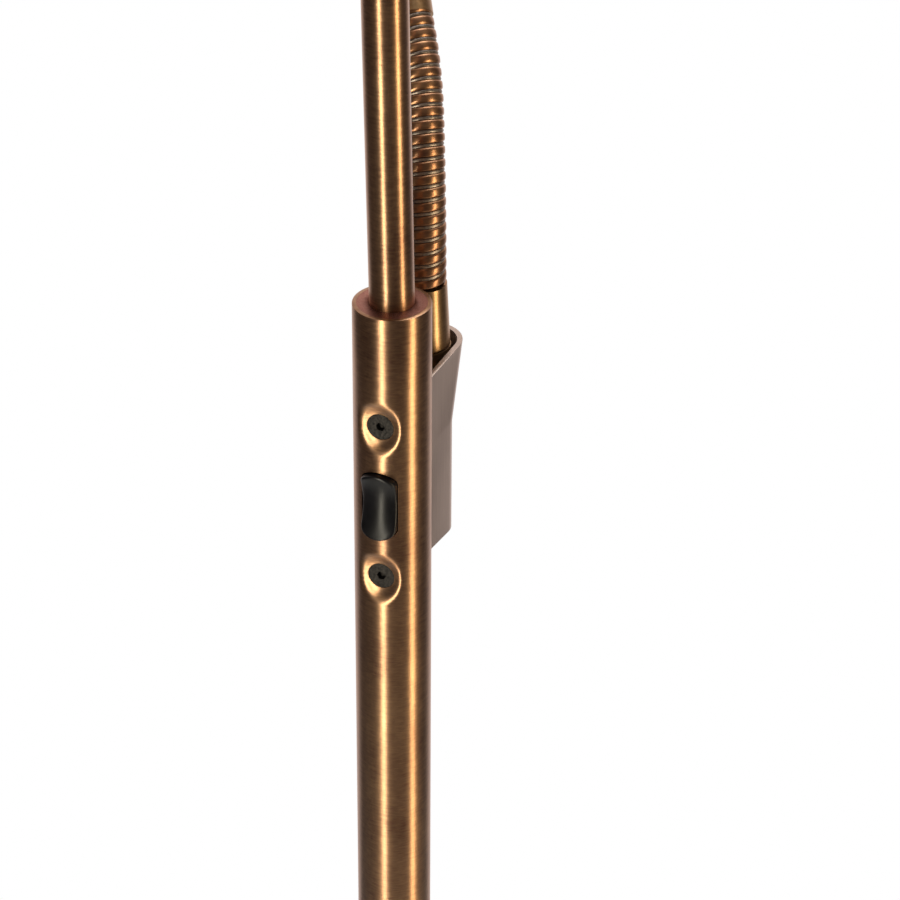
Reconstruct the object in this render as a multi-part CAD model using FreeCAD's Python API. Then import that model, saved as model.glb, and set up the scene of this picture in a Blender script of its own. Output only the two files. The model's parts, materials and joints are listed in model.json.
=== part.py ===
import FreeCAD, Part
import math
import os

# Two-light floor lamp: a dimmable uplighter on a straight column, with a reading head on a gooseneck arm.
# Millimetres. The origin is the centre of the base's underside and +Z is up. The rocker switch faces -Y, and the
# sheet bracket that carries the reading arm is on the +Y side of the column.

V = FreeCAD.Vector
X_AXIS = V(1, 0, 0)
Y_AXIS = V(0, 1, 0)
Z_AXIS = V(0, 0, 1)

# ---------------------------------------------------------------- fits
SLIP = 0.02          # radial gap of pieces screwed, pressed or glued into one another
RUNNING = 0.06       # radial gap of a shaft that turns in its bore
SEAT = 0.05          # gap between two flat faces that rub
AIR = 0.4            # gap round loose inner pieces
spun_steps = 5       # straight steps in which a large curve is spun
core_sides = 12
winding_sides = 6

# ---------------------------------------------------------------- base
base_radius = 140.0
base_rim_height = 14.0
base_height = 34.0
base_boss_radius = 24.0
base_shoulder = 6.0
cover_wall = 1.5
pad_thickness = 2.5
plate_thickness = 1.5
weight_gap = 0.5
nipple_radius = 5.0
nipple_bore = 3.2
nut_height = 5.0
nut_across_flats = 14.0
washer_radius = 11.0
washer_thickness = 1.5
nut_recess_depth = 18.0
gland_height = 9.5
gland_neck_radius = 3.6
gland_bore = 1.5
gland_flange_radius = 5.5
gland_flange = 2.0

# ---------------------------------------------------------------- column
column_top = 1105.0
column_radius = 14.0
column_wall = 1.5
foot_length = 30.0
foot_collar_radius = 20.0
foot_collar_height = 14.0
plug_length = 28.0
upper_radius = 8.0
upper_wall = 1.0
upper_length = 690.0
upper_socket = 25.0
upper_lean = 1.0                 # degrees, as the tube stands in the plug
upper_lean_azimuth = 248.0       # degrees from +Y, clockwise seen from above

# ---------------------------------------------------------------- switch
switch_centre = -75.5            # all switch heights are measured from the column's top
screw_spread = 62.4
dimple_depth = 2.7
dimple_flat_radius = 5.3
dimple_radius = 9.4
screw_head_radius = 5.0
screw_radius = 2.5
screw_length = 9.0
screw_sink = 0.05
hex_key = 3.0
hex_depth = 2.2
insert_radius = 4.0
insert_length = 4.8
rocker_width = 13.4
rocker_height = 26.7
rocker_end_radius = 9.0
rocker_corner = 2.0
rocker_middle = 15.0             # distance of the rocker's face from the column's axis, in its middle
rocker_ends = 16.3               # and at its two ends
rocker_crown = 15.0              # radius of the face across
rocker_pivot = 8.0               # distance of the pivot from the column's axis
rocker_pin_radius = 1.0
window_gap_ends = 0.45
window_gap_sides = 0.25
carrier_top = -30.5
carrier_bottom = -116.0
carrier_back = 1.9
board_thickness = 1.6
board_width = 18.0
tact_spacing = 16.0
tact_size = 6.0
tact_height = 3.5
tact_travel_gap = 0.6

# ---------------------------------------------------------------- reading bracket
arm_reach = 30.7                 # distance of the gooseneck's foot from the column's axis
bracket_top = -31.3
bracket_kink = -59.5
bracket_bottom_front = -103.3
bracket_bottom_back = -105.8
bracket_reach_top = arm_reach + 2.1
bracket_reach_bottom = arm_reach - 8.0
bracket_radius = 13.05
bracket_wall = 2.0
bracket_front_half_width = 12.2
bracket_front = 7.2
web_thickness = 3.0
post_height = 8.0
swivel_nut_height = 3.0          # a thin lock nut, whose corners stay clear of the sloping back
swivel_nut_across_flats = 12.4
post_radius = 9.6
friction_washer_radius = 7.0
friction_washer_thickness = 0.5
stop_groove_radius = 8.0
stop_pin_radius = 0.5
stop_pin_depth = 1.0
swivel_limit = 110.0

# ---------------------------------------------------------------- gooseneck
ferrule_top_radius = 8.1
ferrule_foot_radius = 9.35
ferrule_length = 24.0
ferrule_core_depth = 9.0
goose_radius = 7.85
goose_wire = 1.45                # radius of the outer winding
goose_core_radius = goose_radius - 3.1
goose_core_bore = 3.0
goose_pitch = 4.53
goose_lower_length = 61.0
goose_lower_tilt = 34.3          # degrees from upright at the end of the lower bend
goose_lower_azimuth = -24.8      # degrees from +Y, clockwise seen from above
goose_upper_length = 35.0
goose_upper_tilt = 44.9
goose_upper_azimuth = -37.4

# ---------------------------------------------------------------- reading arm and head
arm_length = 236.0
arm_wall = 1.2
arm_socket = 9.0
eye_thickness = 6.0
eye_radius = 6.0
eye_reach = 18.0
knuckle_screw_radius = 2.0
yoke_ear = 3.0
yoke_gap = 0.3
yoke_reach = 26.0
yoke_base_radius = 12.0
yoke_base_thickness = 4.0
head_elevation = -70.0           # degrees, the direction in which the reading head shines
shade_back_radius = 15.0
shade_neck_length = 20.0
shade_mouth_radius = 36.0
shade_length = 66.0
shade_wall = 1.2
sink_radius = 12.5
sink_length = 18.0
sink_fins = 8
lens_thickness = 2.5
lens_recess = 2.0
ring_wall = 1.0
ring_ledge = 1.2
ring_air = 0.3             # gap between a holding ring and the spun wall round it

# ---------------------------------------------------------------- uplighter
dish_radius = 142.0
dish_depth = 40.0
dish_foot_radius = 30.0
dish_wall = 1.5
hub_radius = 24.0
hub_height = 12.0
hub_overlap = 8.0
driver_radius = 40.0
driver_height = 14.0
uplight_board_thickness = 2.0
diffuser_thickness = 3.0
diffuser_crown = 2.8             # how far it stands above the dish's rim
diffuser_bevel = 1.5
ring_width = 7.0
ring_lip = 1.0
nut_air = 4.0

# ---------------------------------------------------------------- leads

lead_radius = 1.3
lead_bend = 8.0
gentle_bend = 1500.0


# ---------------------------------------------------------------- helpers
def save(name, shape):
    """Writes one sub-part."""
    shape.exportStep("parts/" + name + ".step")


def z_from_top(z):
    """A height given from the column's top, in the lamp's frame."""
    return column_top + z


def cylinder(radius, height, base=V(0, 0, 0), axis=Z_AXIS):
    return Part.makeCylinder(radius, height, base, axis)


def ring(outer, inner, height, base=V(0, 0, 0), axis=Z_AXIS):
    """A short tube that starts at base and runs along axis."""
    return cylinder(outer, height, base, axis).cut(cylinder(inner, height, base, axis))


def turned(outline, chords=0):
    """A solid turned about the Z axis from a closed outline of (radius, height) points and arcs' middles."""
    return revolved(outline, V(0, 0, 0), Z_AXIS, X_AXIS, chords)


def revolved(outline, origin, axis, radial, chords=0):
    """A solid of revolution. A point with a third value True is the middle of an arc to the next point.

    With chords, each arc becomes that many straight steps, which keeps a wide spun shape's surface simple.
    """
    def place(point):
        return origin + radial * point[0] + axis * point[1]

    edges = []
    here = outline[0]
    index = 1
    closed = outline[1:] + [outline[0]]
    while index <= len(closed):
        point = closed[index - 1]
        if len(point) == 3:
            end = closed[index]
            arc = Part.Arc(place(here), place(point), place(end))
            if chords:
                stops = arc.discretize(chords + 1)
                stops[-1] = place(end)
                edges += [Part.makeLine(a, b) for a, b in zip(stops, stops[1:])]
            else:
                edges.append(arc.toShape())
            here = end
            index += 2
        else:
            edges.append(Part.makeLine(place(here), place(point)))
            here = point
            index += 1
    face = Part.Face(Part.Wire(edges))
    return face.revolve(origin, axis, 360)


def hexagon(across_flats, height, base, axis=Z_AXIS, bore=0.0):
    """A hexagonal prism, with a bore if one is given."""
    corner = across_flats / math.sqrt(3)
    angles = [math.radians(60 * k) for k in range(7)]
    points = [V(corner * math.cos(a), corner * math.sin(a), 0) for a in angles]
    prism = Part.Face(Part.makePolygon(points)).extrude(V(0, 0, height))
    if bore:
        prism = prism.cut(cylinder(bore, height))
    prism.Placement = FreeCAD.Placement(base, FreeCAD.Rotation(Z_AXIS, axis))
    return prism


def tangent_arc(start, direction, end):
    """The arc that leaves start along direction and ends at end."""
    chord = end - start
    along = V(chord).normalize()
    side = direction - along * direction.dot(along)
    side.normalize()
    angle = math.acos(max(-1.0, min(1.0, V(direction).normalize().dot(along))))
    middle = (start + end) * 0.5 + side * (chord.Length / 2 * math.tan(angle / 2))
    return Part.Arc(start, middle, end).toShape()


def rounded_path(points, bend):
    """Straight runs joined by arcs of one radius."""
    edges = []
    here = points[0]
    for before, corner, after in zip(points, points[1:], points[2:]):
        into = V(corner - before).normalize()
        out = V(after - corner).normalize()
        turn = math.acos(max(-1.0, min(1.0, into.dot(out))))
        cut = bend * math.tan(turn / 2)
        first = corner - into * cut
        last = corner + out * cut
        edges.append(Part.makeLine(here, first))
        edges.append(tangent_arc(first, into, last))
        here = last
    edges.append(Part.makeLine(here, points[-1]))
    return edges


def pipe(edges, radius, bore=0.0, sides=0):
    """A round tube along tangent edges, or one with as many flat sides as given."""
    wire = Part.Wire(edges)
    start = edges[0].valueAt(edges[0].FirstParameter)
    direction = edges[0].tangentAt(edges[0].FirstParameter)

    def swept(size):
        section = Part.Wire(Part.makeCircle(size, start, direction))
        if sides:
            corners = section.Edges[0].Curve.discretize(sides + 1)
            section = Part.makePolygon(corners[:-1] + corners[:1])
        return wire.makePipeShell([section], True, False)

    solid = swept(radius)
    if bore:
        solid = solid.cut(swept(bore))
    return solid


def spun_radius(outline, height):
    """The radius at a height on the stepped arc through an outline's three points."""
    start, middle, end = [V(p[0], p[1], 0) for p in outline]
    stops = Part.Arc(start, middle, end).discretize(spun_steps + 1)
    for low, high in zip(stops, stops[1:]):
        if height <= high.y or high is stops[-1]:
            return low.x + (high.x - low.x) * (height - low.y) / (high.y - low.y)


def direction_of(tilt, azimuth):
    """A unit vector tilted from upright, towards an azimuth counted clockwise from +Y."""
    t = math.radians(tilt)
    a = math.radians(azimuth)
    return V(math.sin(t) * math.sin(a), math.sin(t) * math.cos(a), math.cos(t))


# ---------------------------------------------------------------- places
column_bore = column_radius - column_wall
arm_foot = V(0, arm_reach, z_from_top(bracket_top))
goose_start = arm_foot + Z_AXIS * ferrule_length
goose_length = goose_lower_length + goose_upper_length
web_top = z_from_top(bracket_top) - friction_washer_thickness - 2 * SEAT - post_height
swivel_nut_top = web_top - web_thickness - 1.2
swivel_nipple_bottom = swivel_nut_top - swivel_nut_height - 1.0


def goose_frame(s):
    """Where the gooseneck's axis is at a length s from its foot, and how it is turned there."""
    upright = Z_AXIS
    middle = direction_of(goose_lower_tilt, goose_lower_azimuth)
    last = direction_of(goose_upper_tilt, goose_upper_azimuth)
    point = V(goose_start)
    turn = FreeCAD.Rotation()
    for tangent, following, length in ((upright, middle, goose_lower_length), (middle, last, goose_upper_length)):
        part = max(0.0, min(1.0, s / length))
        angle = tangent.getAngle(following)
        axis = tangent.cross(following).normalize()
        inward = axis.cross(tangent).normalize()
        centre = point + inward * (length / angle)
        bend = FreeCAD.Rotation(axis, math.degrees(angle * part))
        point = centre + bend.multVec(point - centre)
        turn = bend.multiply(turn)
        s -= length
        if s <= 0:
            break
    return point, turn


def goose_axis_edges():
    """The gooseneck's axis as two tangent arcs."""
    start, _ = goose_frame(0)
    middle, turn = goose_frame(goose_lower_length)
    end, _ = goose_frame(goose_length)
    return [tangent_arc(start, Z_AXIS, middle), tangent_arc(middle, turn.multVec(Z_AXIS), end)]


goose_end, _ = goose_frame(goose_length)
arm_direction = direction_of(goose_upper_tilt, goose_upper_azimuth)
outward = direction_of(90, goose_upper_azimuth)
hinge_axis = Z_AXIS.cross(outward)
arm_turn = FreeCAD.Rotation(hinge_axis, arm_direction.cross(hinge_axis), arm_direction, "ZXY")
arm_tube_start = ferrule_length - arm_socket
knuckle_from_goose = arm_tube_start + arm_length + eye_reach
knuckle = goose_end + arm_direction * knuckle_from_goose
shine = outward * math.cos(math.radians(head_elevation)) + Z_AXIS * math.sin(math.radians(head_elevation))
head_turn = FreeCAD.Rotation(hinge_axis, shine.cross(hinge_axis), shine, "ZXY")
upper_direction = direction_of(upper_lean, upper_lean_azimuth)
upper_turn = FreeCAD.Rotation(Z_AXIS, upper_direction)


def on_arm(shape):
    """Places a shape drawn along +Z from the gooseneck's end on the reading arm."""
    shape.Placement = FreeCAD.Placement(goose_end, arm_turn).multiply(shape.Placement)
    return shape


def on_head(shape):
    """Places a shape drawn along +Z from the knuckle on the reading head."""
    shape.Placement = FreeCAD.Placement(knuckle, head_turn).multiply(shape.Placement)
    return shape


def on_upper_tube(shape):
    """Places a shape drawn along +Z from the column's top on the leaning upper tube."""
    shape.Placement = FreeCAD.Placement(V(0, 0, column_top), upper_turn).multiply(shape.Placement)
    return shape


# ---------------------------------------------------------------- base
def cover_outline(grow):
    """The spun cover's outer face, or that face drawn in by grow, as (radius, height) points from rim to boss."""
    rim = base_radius - grow
    shoulder = base_rim_height
    corner = base_shoulder - grow
    centre = (base_radius - base_shoulder, shoulder)
    diagonal = corner / math.sqrt(2)
    top = shoulder + corner
    return [
        (rim, shoulder),
        (centre[0] + diagonal, centre[1] + diagonal, True),
        (centre[0], top),
        (base_boss_radius + base_shoulder * 2, base_height - 4.0 - grow),
        (base_boss_radius, base_height - grow),
    ]


def base_cover():
    outer = cover_outline(0)
    inner = cover_outline(cover_wall)
    bottom = pad_thickness
    outline = [(base_radius, bottom)] + outer
    outline += [(nipple_radius + AIR, base_height), (nipple_radius + AIR, base_height - cover_wall)]
    outline += [p for p in reversed(inner)]
    outline += [(base_radius - cover_wall, bottom)]
    shell = turned(outline, 3)
    inside = V(0, base_radius - 2 * base_shoulder, gland_height)
    hole = cylinder(gland_neck_radius + SLIP, 3 * base_shoulder, inside, Y_AXIS)
    return shell.cut(hole)


def floor_pad():
    return cylinder(base_radius - cover_wall / 2, pad_thickness)


def base_plate():
    return cylinder(base_radius - cover_wall - AIR, plate_thickness, V(0, 0, pad_thickness))


def base_weight():
    inner = cover_outline(cover_wall + weight_gap)
    bottom = pad_thickness + plate_thickness
    outer_radius = base_radius - cover_wall - weight_gap - 4.0
    outline = [(nipple_radius + AIR, bottom), (outer_radius, bottom), (outer_radius, base_rim_height)]
    outline += inner[3:]
    outline += [(nipple_radius + AIR, base_height - cover_wall - weight_gap)]
    weight = turned(outline)
    recess = cylinder(washer_radius + 3.0, nut_recess_depth, V(0, 0, bottom))
    channel_width = 4 * lead_radius + 2.0
    channel_height = gland_height + 3.0 - bottom
    channel = Part.makeBox(channel_width, base_radius, channel_height, V(-channel_width / 2, 0, bottom))
    return weight.cut(recess).cut(channel)


base_seat = pad_thickness + plate_thickness + nut_recess_depth


def base_washer():
    return ring(washer_radius, nipple_radius + 0.2, washer_thickness, V(0, 0, base_seat - washer_thickness))


def base_nut():
    bottom = base_seat - washer_thickness - nut_height
    return hexagon(nut_across_flats, nut_height, V(0, 0, bottom), Z_AXIS, nipple_radius + SLIP)


def base_nipple():
    bottom = base_seat - washer_thickness - nut_height - 1.5
    top = base_height + foot_length - 4.0
    return ring(nipple_radius, nipple_bore, top - bottom, V(0, 0, bottom))


def cable_gland():
    start = base_radius - cover_wall - gland_flange
    length = cover_wall + 2 * gland_flange
    outline = [
        (gland_bore, 0), (gland_flange_radius - 1.0, 0), (gland_flange_radius - 1.0, gland_flange - 0.1),
        (gland_neck_radius, gland_flange - 0.1), (gland_neck_radius, gland_flange + cover_wall + 0.1),
        (gland_flange_radius, gland_flange + cover_wall + 0.1), (gland_flange_radius, length - 0.8),
        (gland_flange_radius - 0.8, length), (gland_bore, length),
    ]
    return revolved(outline, V(0, start, gland_height), Y_AXIS, X_AXIS)


# ---------------------------------------------------------------- column
def column_foot():
    return ring(column_bore - SLIP, nipple_radius + SLIP, foot_length, V(0, 0, base_height))


def foot_collar():
    top_radius = column_radius + 2.0
    outline = [
        (column_radius + SLIP, base_height), (foot_collar_radius, base_height),
        (foot_collar_radius, base_height + 4.0),
        (top_radius + 0.8, base_height + foot_collar_height - 5.0, True),
        (top_radius, base_height + foot_collar_height), (column_radius + SLIP, base_height + foot_collar_height),
    ]
    return turned(outline, 4)


def dish_tool(flat_radius, bottom, outer_radius, top):
    """What a pressed dimple takes away: a flat floor, an S-shaped wall of two arcs, and all beyond it."""
    rise = top - bottom
    run = outer_radius - flat_radius
    turn = 2 * math.atan(rise / run)
    radius = run / (2 * math.sin(turn))
    half_x = radius * math.sin(turn / 2)
    half_y = radius * (1 - math.cos(turn / 2))
    middle = (flat_radius + run / 2, bottom + rise / 2)
    return [
        (0, bottom), (flat_radius, bottom), (flat_radius + half_x, bottom + half_y, True), middle,
        (outer_radius - half_x, top - half_y, True), (outer_radius, top),
        (outer_radius, column_radius * 1.5), (0, column_radius * 1.5),
    ]


def screw_heights():
    return [z_from_top(switch_centre + screw_spread / 2), z_from_top(switch_centre - screw_spread / 2)]


def dimple_floor():
    return column_radius - dimple_depth


def rocker_outline(gap_sides, gap_ends, depth_from, depth_to):
    """The rocker's outline seen from the front, as a prism between two distances from the column's axis."""
    half_width = rocker_width / 2 + gap_sides
    half_height = rocker_height / 2 + gap_ends
    end_radius = rocker_end_radius + gap_ends
    centre = half_height - end_radius
    corner = centre + math.sqrt(end_radius ** 2 - half_width ** 2)
    middle = z_from_top(switch_centre)

    def at(x, z):
        return V(x, -depth_from, middle + z)

    edges = [
        Part.makeLine(at(-half_width, -corner), at(-half_width, corner)),
        Part.Arc(at(-half_width, corner), at(0, half_height), at(half_width, corner)).toShape(),
        Part.makeLine(at(half_width, corner), at(half_width, -corner)),
        Part.Arc(at(half_width, -corner), at(0, -half_height), at(-half_width, -corner)).toShape(),
    ]
    prism = Part.Face(Part.Wire(edges)).extrude(V(0, depth_from - depth_to, 0))
    upright = [e for e in prism.Edges if abs(abs(e.tangentAt(e.FirstParameter).y) - 1) < 1e-6]
    return prism.makeFillet(rocker_corner, upright)


def lower_column():
    """The wide tube with its two pressed dimples, the rocker's window and the hole for the reading lead."""
    length = column_top - base_height
    outer = cylinder(column_radius, length, V(0, 0, base_height))
    void = cylinder(column_bore, length, V(0, 0, base_height))
    floor = dimple_floor()
    for height in screw_heights():
        origin = V(0, 0, height)
        dish = revolved(dish_tool(dimple_flat_radius, floor, dimple_radius, column_radius + 0.05),
                        origin, V(0, -1, 0), X_AXIS)
        back = revolved(dish_tool(dimple_flat_radius, floor - column_wall, dimple_radius + 1.0, column_bore + 0.05),
                        origin, V(0, -1, 0), X_AXIS)
        outer = outer.cut(dish)
        void = void.cut(back)
    tube = outer.cut(void)
    for height in screw_heights():
        head = screw_head_radius + 0.15
        tube = tube.cut(Part.makeCone(head - 3.0, head, 3.0, V(0, -(floor - 3.0), height), V(0, -1, 0)))
    tube = tube.cut(rocker_outline(window_gap_sides, window_gap_ends, column_radius * 1.3, rocker_pivot))
    lead_hole = cylinder(lead_radius + 1.4, column_radius, V(0, column_bore - 2.0, lead_height), Y_AXIS)
    return tube.cut(lead_hole)


lead_height = z_from_top(switch_centre + 7.5)


def column_plug():
    plug = cylinder(column_bore - SLIP, plug_length, V(0, 0, column_top - plug_length))
    socket = cylinder(upper_radius + SLIP, upper_socket + 10.0, V(0, 0, -upper_socket))
    passage = cylinder(upper_radius - upper_wall - 1.0, plug_length, V(0, 0, column_top - plug_length))
    return plug.cut(on_upper_tube(socket)).cut(passage)


def upper_tube():
    tube = ring(upper_radius, upper_radius - upper_wall, upper_length + upper_socket, V(0, 0, -upper_socket))
    return on_upper_tube(tube)


# ---------------------------------------------------------------- switch
def switch_carrier():
    """The moulded insert behind the window, held by the two countersunk screws."""
    radius = column_bore - 0.2
    height = carrier_top - carrier_bottom
    bottom = z_from_top(carrier_bottom)
    body = cylinder(radius, height, V(0, 0, bottom))
    body = body.cut(Part.makeBox(4 * radius, 2 * radius, height, V(-2 * radius, -carrier_back, bottom)))
    cavity_width = rocker_width + 2 * window_gap_sides + 0.3
    cavity_height = rocker_height + 2 * window_gap_ends + 0.4
    cavity_base = V(-cavity_width / 2, -2 * radius, z_from_top(switch_centre) - cavity_height / 2)
    body = body.cut(Part.makeBox(cavity_width, 2 * radius, cavity_height, cavity_base))
    boss = dimple_floor() - column_wall - AIR
    for height_of_screw in screw_heights():
        centre = V(0, 0, height_of_screw)
        pocket = cylinder(dimple_radius + 2.0, radius, centre - Y_AXIS * boss, V(0, -1, 0))
        hole = cylinder(screw_head_radius - 1.5, radius, centre, V(0, -1, 0))
        seat = cylinder(insert_radius + SLIP, insert_length, centre - Y_AXIS * (boss - insert_length), V(0, -1, 0))
        body = body.cut(pocket).cut(hole).cut(seat)
    pin_start = V(-radius, -rocker_pivot, z_from_top(switch_centre))
    pin_hole = cylinder(rocker_pin_radius + SLIP, 2 * radius, pin_start, X_AXIS)
    return body.cut(pin_hole)


def carrier_inserts():
    boss = dimple_floor() - column_wall - AIR
    rings = []
    for height in screw_heights():
        start = V(0, -(boss - insert_length), height)
        insert = ring(insert_radius, screw_radius + SLIP, insert_length, start, V(0, -1, 0))
        sink = screw_radius + SLIP + (boss - (dimple_floor() - screw_head_radius + screw_radius)) + 0.1
        if sink > screw_radius:
            insert = insert.cut(Part.makeCone(sink, sink - 2.0, 2.0, V(0, -boss, height), Y_AXIS))
        rings.append(insert)
    return Part.makeCompound(rings)


def carrier_screws():
    """Two countersunk screws with a hexagon socket."""
    screws = []
    face = dimple_floor() - screw_sink
    cone = screw_head_radius - screw_radius
    for height in screw_heights():
        outline = [
            (0, face - screw_length), (screw_radius - 0.5, face - screw_length),
            (screw_radius, face - screw_length + 0.5), (screw_radius, face - cone),
            (screw_head_radius, face), (0, face),
        ]
        screw = revolved(outline, V(0, 0, height), V(0, -1, 0), X_AXIS)
        socket = hexagon(hex_key, hex_depth + 1.0, V(0, -(face - hex_depth), height), V(0, -1, 0))
        screws.append(screw.cut(socket))
    return Part.makeCompound(screws)


def rocker():
    """The saddle-faced rocker: hollow along its length and crowned across, with a lug for its pin."""
    middle = z_from_top(switch_centre)
    back = rocker_pivot + 1.7
    body = rocker_outline(0, 0, rocker_ends + 2.0, back)
    rise = rocker_ends - rocker_middle
    half = rocker_height / 2
    hollow = (half ** 2 + rise ** 2) / (2 * rise)
    drop = rocker_crown - math.sqrt(rocker_crown ** 2 - (rocker_width / 2 + 1.0) ** 2)
    side = rocker_width / 2 + 1.0
    spool = [(0, -side), (hollow + drop, -side), (hollow, 0, True), (hollow + drop, side), (0, side)]
    cut_axis = V(0, -(rocker_middle + hollow), middle)
    body = body.cut(revolved(spool, cut_axis, X_AXIS, Y_AXIS))
    lug_height = 6.0
    lug_width = rocker_width - 1.0
    lug = Part.makeBox(lug_width, 4.4, lug_height, V(-lug_width / 2, -back - 0.1, middle - lug_height / 2))
    bore_start = V(-rocker_width / 2 - 1, -rocker_pivot, middle)
    bore = cylinder(rocker_pin_radius + RUNNING, rocker_width + 2.0, bore_start, X_AXIS)
    return body.fuse(lug).removeSplitter().cut(bore)


def rocker_pin():
    length = 2 * math.sqrt((column_bore - 0.2) ** 2 - (rocker_pivot + rocker_pin_radius) ** 2) - 2 * SEAT
    return cylinder(rocker_pin_radius, length, V(-length / 2, -rocker_pivot, z_from_top(switch_centre)), X_AXIS)


board_front = carrier_back - SEAT
board_back = board_front - board_thickness


def dimmer_board():
    """The board lies on the carrier's flat back."""
    margin = 4.0
    height = carrier_top - carrier_bottom - 2 * margin
    base = V(-board_width / 2, -board_front, z_from_top(carrier_bottom + margin))
    return Part.makeBox(board_width, board_thickness, height, base)


def tact_switches():
    """Two push switches on the board, one under each end of the rocker."""
    switches = []
    plunger_tip = rocker_pivot + 1.7 - tact_travel_gap
    face = board_front + tact_height
    for side in (-0.5, 0.5):
        centre = z_from_top(switch_centre + side * tact_spacing)
        body = Part.makeBox(tact_size, tact_height, tact_size, V(-tact_size / 2, -face, centre - tact_size / 2))
        plunger = cylinder(1.7, plunger_tip - face, V(0, -face, centre), V(0, -1, 0))
        switches.append(body.fuse(plunger))
    return Part.makeCompound(switches)


# ---------------------------------------------------------------- reading bracket
def u_wire(reach, height, grow):
    """One section of the folded bracket's outer or inner face: two cheeks and a round back."""
    radius = bracket_radius - grow
    front = bracket_front_half_width - grow
    start = -column_radius
    slope = (bracket_front_half_width - bracket_radius) / (reach - bracket_front)
    front += slope * (bracket_front - start)
    points = [V(-front, start, height), V(-radius, reach, height), V(0, reach + radius, height),
              V(radius, reach, height), V(front, start, height)]
    return Part.Wire([
        Part.makeLine(points[0], points[1]),
        Part.Arc(points[1], points[2], points[3]).toShape(),
        Part.makeLine(points[3], points[4]),
        Part.makeLine(points[4], points[0]),
    ])


def u_solid(grow, top_extra=0.0):
    """The space inside one face of the bracket, from its foot to its rim."""
    low = z_from_top(bracket_bottom_back) - 5.0
    kink = z_from_top(bracket_kink)
    top = z_from_top(bracket_top) + top_extra
    slope = (bracket_reach_top - bracket_reach_bottom) / (bracket_top - bracket_kink)
    reach_top = bracket_reach_top + slope * top_extra
    foot = u_wire(bracket_reach_bottom, low, grow)
    fold = u_wire(bracket_reach_bottom, kink, grow)
    rim = u_wire(reach_top, top, grow)
    lower = Part.makeLoft([foot, fold], True, True)
    upper = Part.makeLoft([fold, rim], True, True)
    return lower.fuse(upper).removeSplitter()


def reading_bracket():
    """A folded sheet welded to the column: cheeks beside it, a round back that leans out to the rim."""
    sheet = u_solid(0).cut(u_solid(bracket_wall, 1.0))
    sheet = sheet.cut(Part.makeBox(200, 200, 200, V(-100, bracket_front - 200, column_top - 200)))
    sheet = sheet.cut(cylinder(column_radius + SLIP, 200, V(0, 0, column_top - 190)))
    run = bracket_reach_bottom + bracket_radius - bracket_front
    slope = (bracket_bottom_back - bracket_bottom_front) / run
    reach = 80.0
    points = [V(-50, bracket_front, z_from_top(bracket_bottom_front)),
              V(-50, bracket_front + reach, z_from_top(bracket_bottom_front + slope * reach)),
              V(-50, bracket_front + reach, z_from_top(-200)), V(-50, bracket_front, z_from_top(-200))]
    below = Part.Face(Part.makePolygon(points + points[:1])).extrude(V(100, 0, 0))
    return sheet.cut(below)


def bracket_web():
    """The plate across the bracket that carries the reading arm's post."""
    slab = Part.makeBox(100, 100, web_thickness, V(-50, column_radius + 2.0, web_top - web_thickness))
    bore = cylinder(nipple_radius + RUNNING, 100, V(0, arm_reach, web_top - 50))
    return u_solid(bracket_wall + 0.1).common(slab).cut(bore)


def swivel_post():
    """The turned post under the gooseneck's ferrule, with the groove that limits the swivel."""
    post = ring(post_radius, nipple_radius + RUNNING, post_height, V(0, arm_reach, web_top))
    width = 2 * stop_pin_radius + 0.4
    sweep = 2 * swivel_limit + 2 * math.degrees((stop_pin_radius + 0.05) / stop_groove_radius)
    groove = Part.makeCylinder(stop_groove_radius + width / 2, stop_pin_depth + 0.4, V(0, 0, 0), Z_AXIS, sweep)
    groove = groove.cut(cylinder(stop_groove_radius - width / 2, stop_pin_depth + 0.4))
    start = 90 - sweep / 2
    groove.Placement = FreeCAD.Placement(V(0, arm_reach, web_top + post_height - stop_pin_depth - 0.4),
                                         FreeCAD.Rotation(Z_AXIS, start))
    return post.cut(groove)


def friction_washer():
    return ring(friction_washer_radius, nipple_radius + RUNNING, friction_washer_thickness,
                V(0, arm_reach, web_top + post_height + SEAT))


def stop_pin():
    """A small pin under the ferrule that runs in the post's groove."""
    azimuth = math.radians(goose_upper_azimuth)
    place = arm_foot + V(math.sin(azimuth), math.cos(azimuth), 0) * stop_groove_radius
    top = 3.0
    bottom = arm_foot.z - web_top - post_height + stop_pin_depth
    return cylinder(stop_pin_radius, top + bottom, place - Z_AXIS * bottom)


def swivel_nipple():
    top = arm_foot.z + ferrule_length - ferrule_core_depth - 2.0
    return ring(nipple_radius, nipple_bore, top - swivel_nipple_bottom, V(0, arm_reach, swivel_nipple_bottom))


def wave_washer():
    thickness = 1.0
    under_web = web_top - web_thickness - SEAT - thickness
    return ring(nipple_radius + 1.9, nipple_radius + 0.2, thickness, V(0, arm_reach, under_web))


def swivel_nut():
    bottom = V(0, arm_reach, swivel_nut_top - swivel_nut_height)
    return hexagon(swivel_nut_across_flats, swivel_nut_height, bottom, Z_AXIS, nipple_radius + SLIP)


# ---------------------------------------------------------------- gooseneck
def ferrule(socket_radius, socket_depth):
    """A turned cone along +Z whose thin end, at 0, meets the gooseneck."""
    body = Part.makeCone(ferrule_top_radius, ferrule_foot_radius, ferrule_length)
    body = body.cut(cylinder(goose_core_radius + SLIP, ferrule_core_depth))
    body = body.cut(cylinder(nipple_bore, ferrule_length))
    return body.cut(cylinder(socket_radius, socket_depth, V(0, 0, ferrule_length - socket_depth)))


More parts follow.
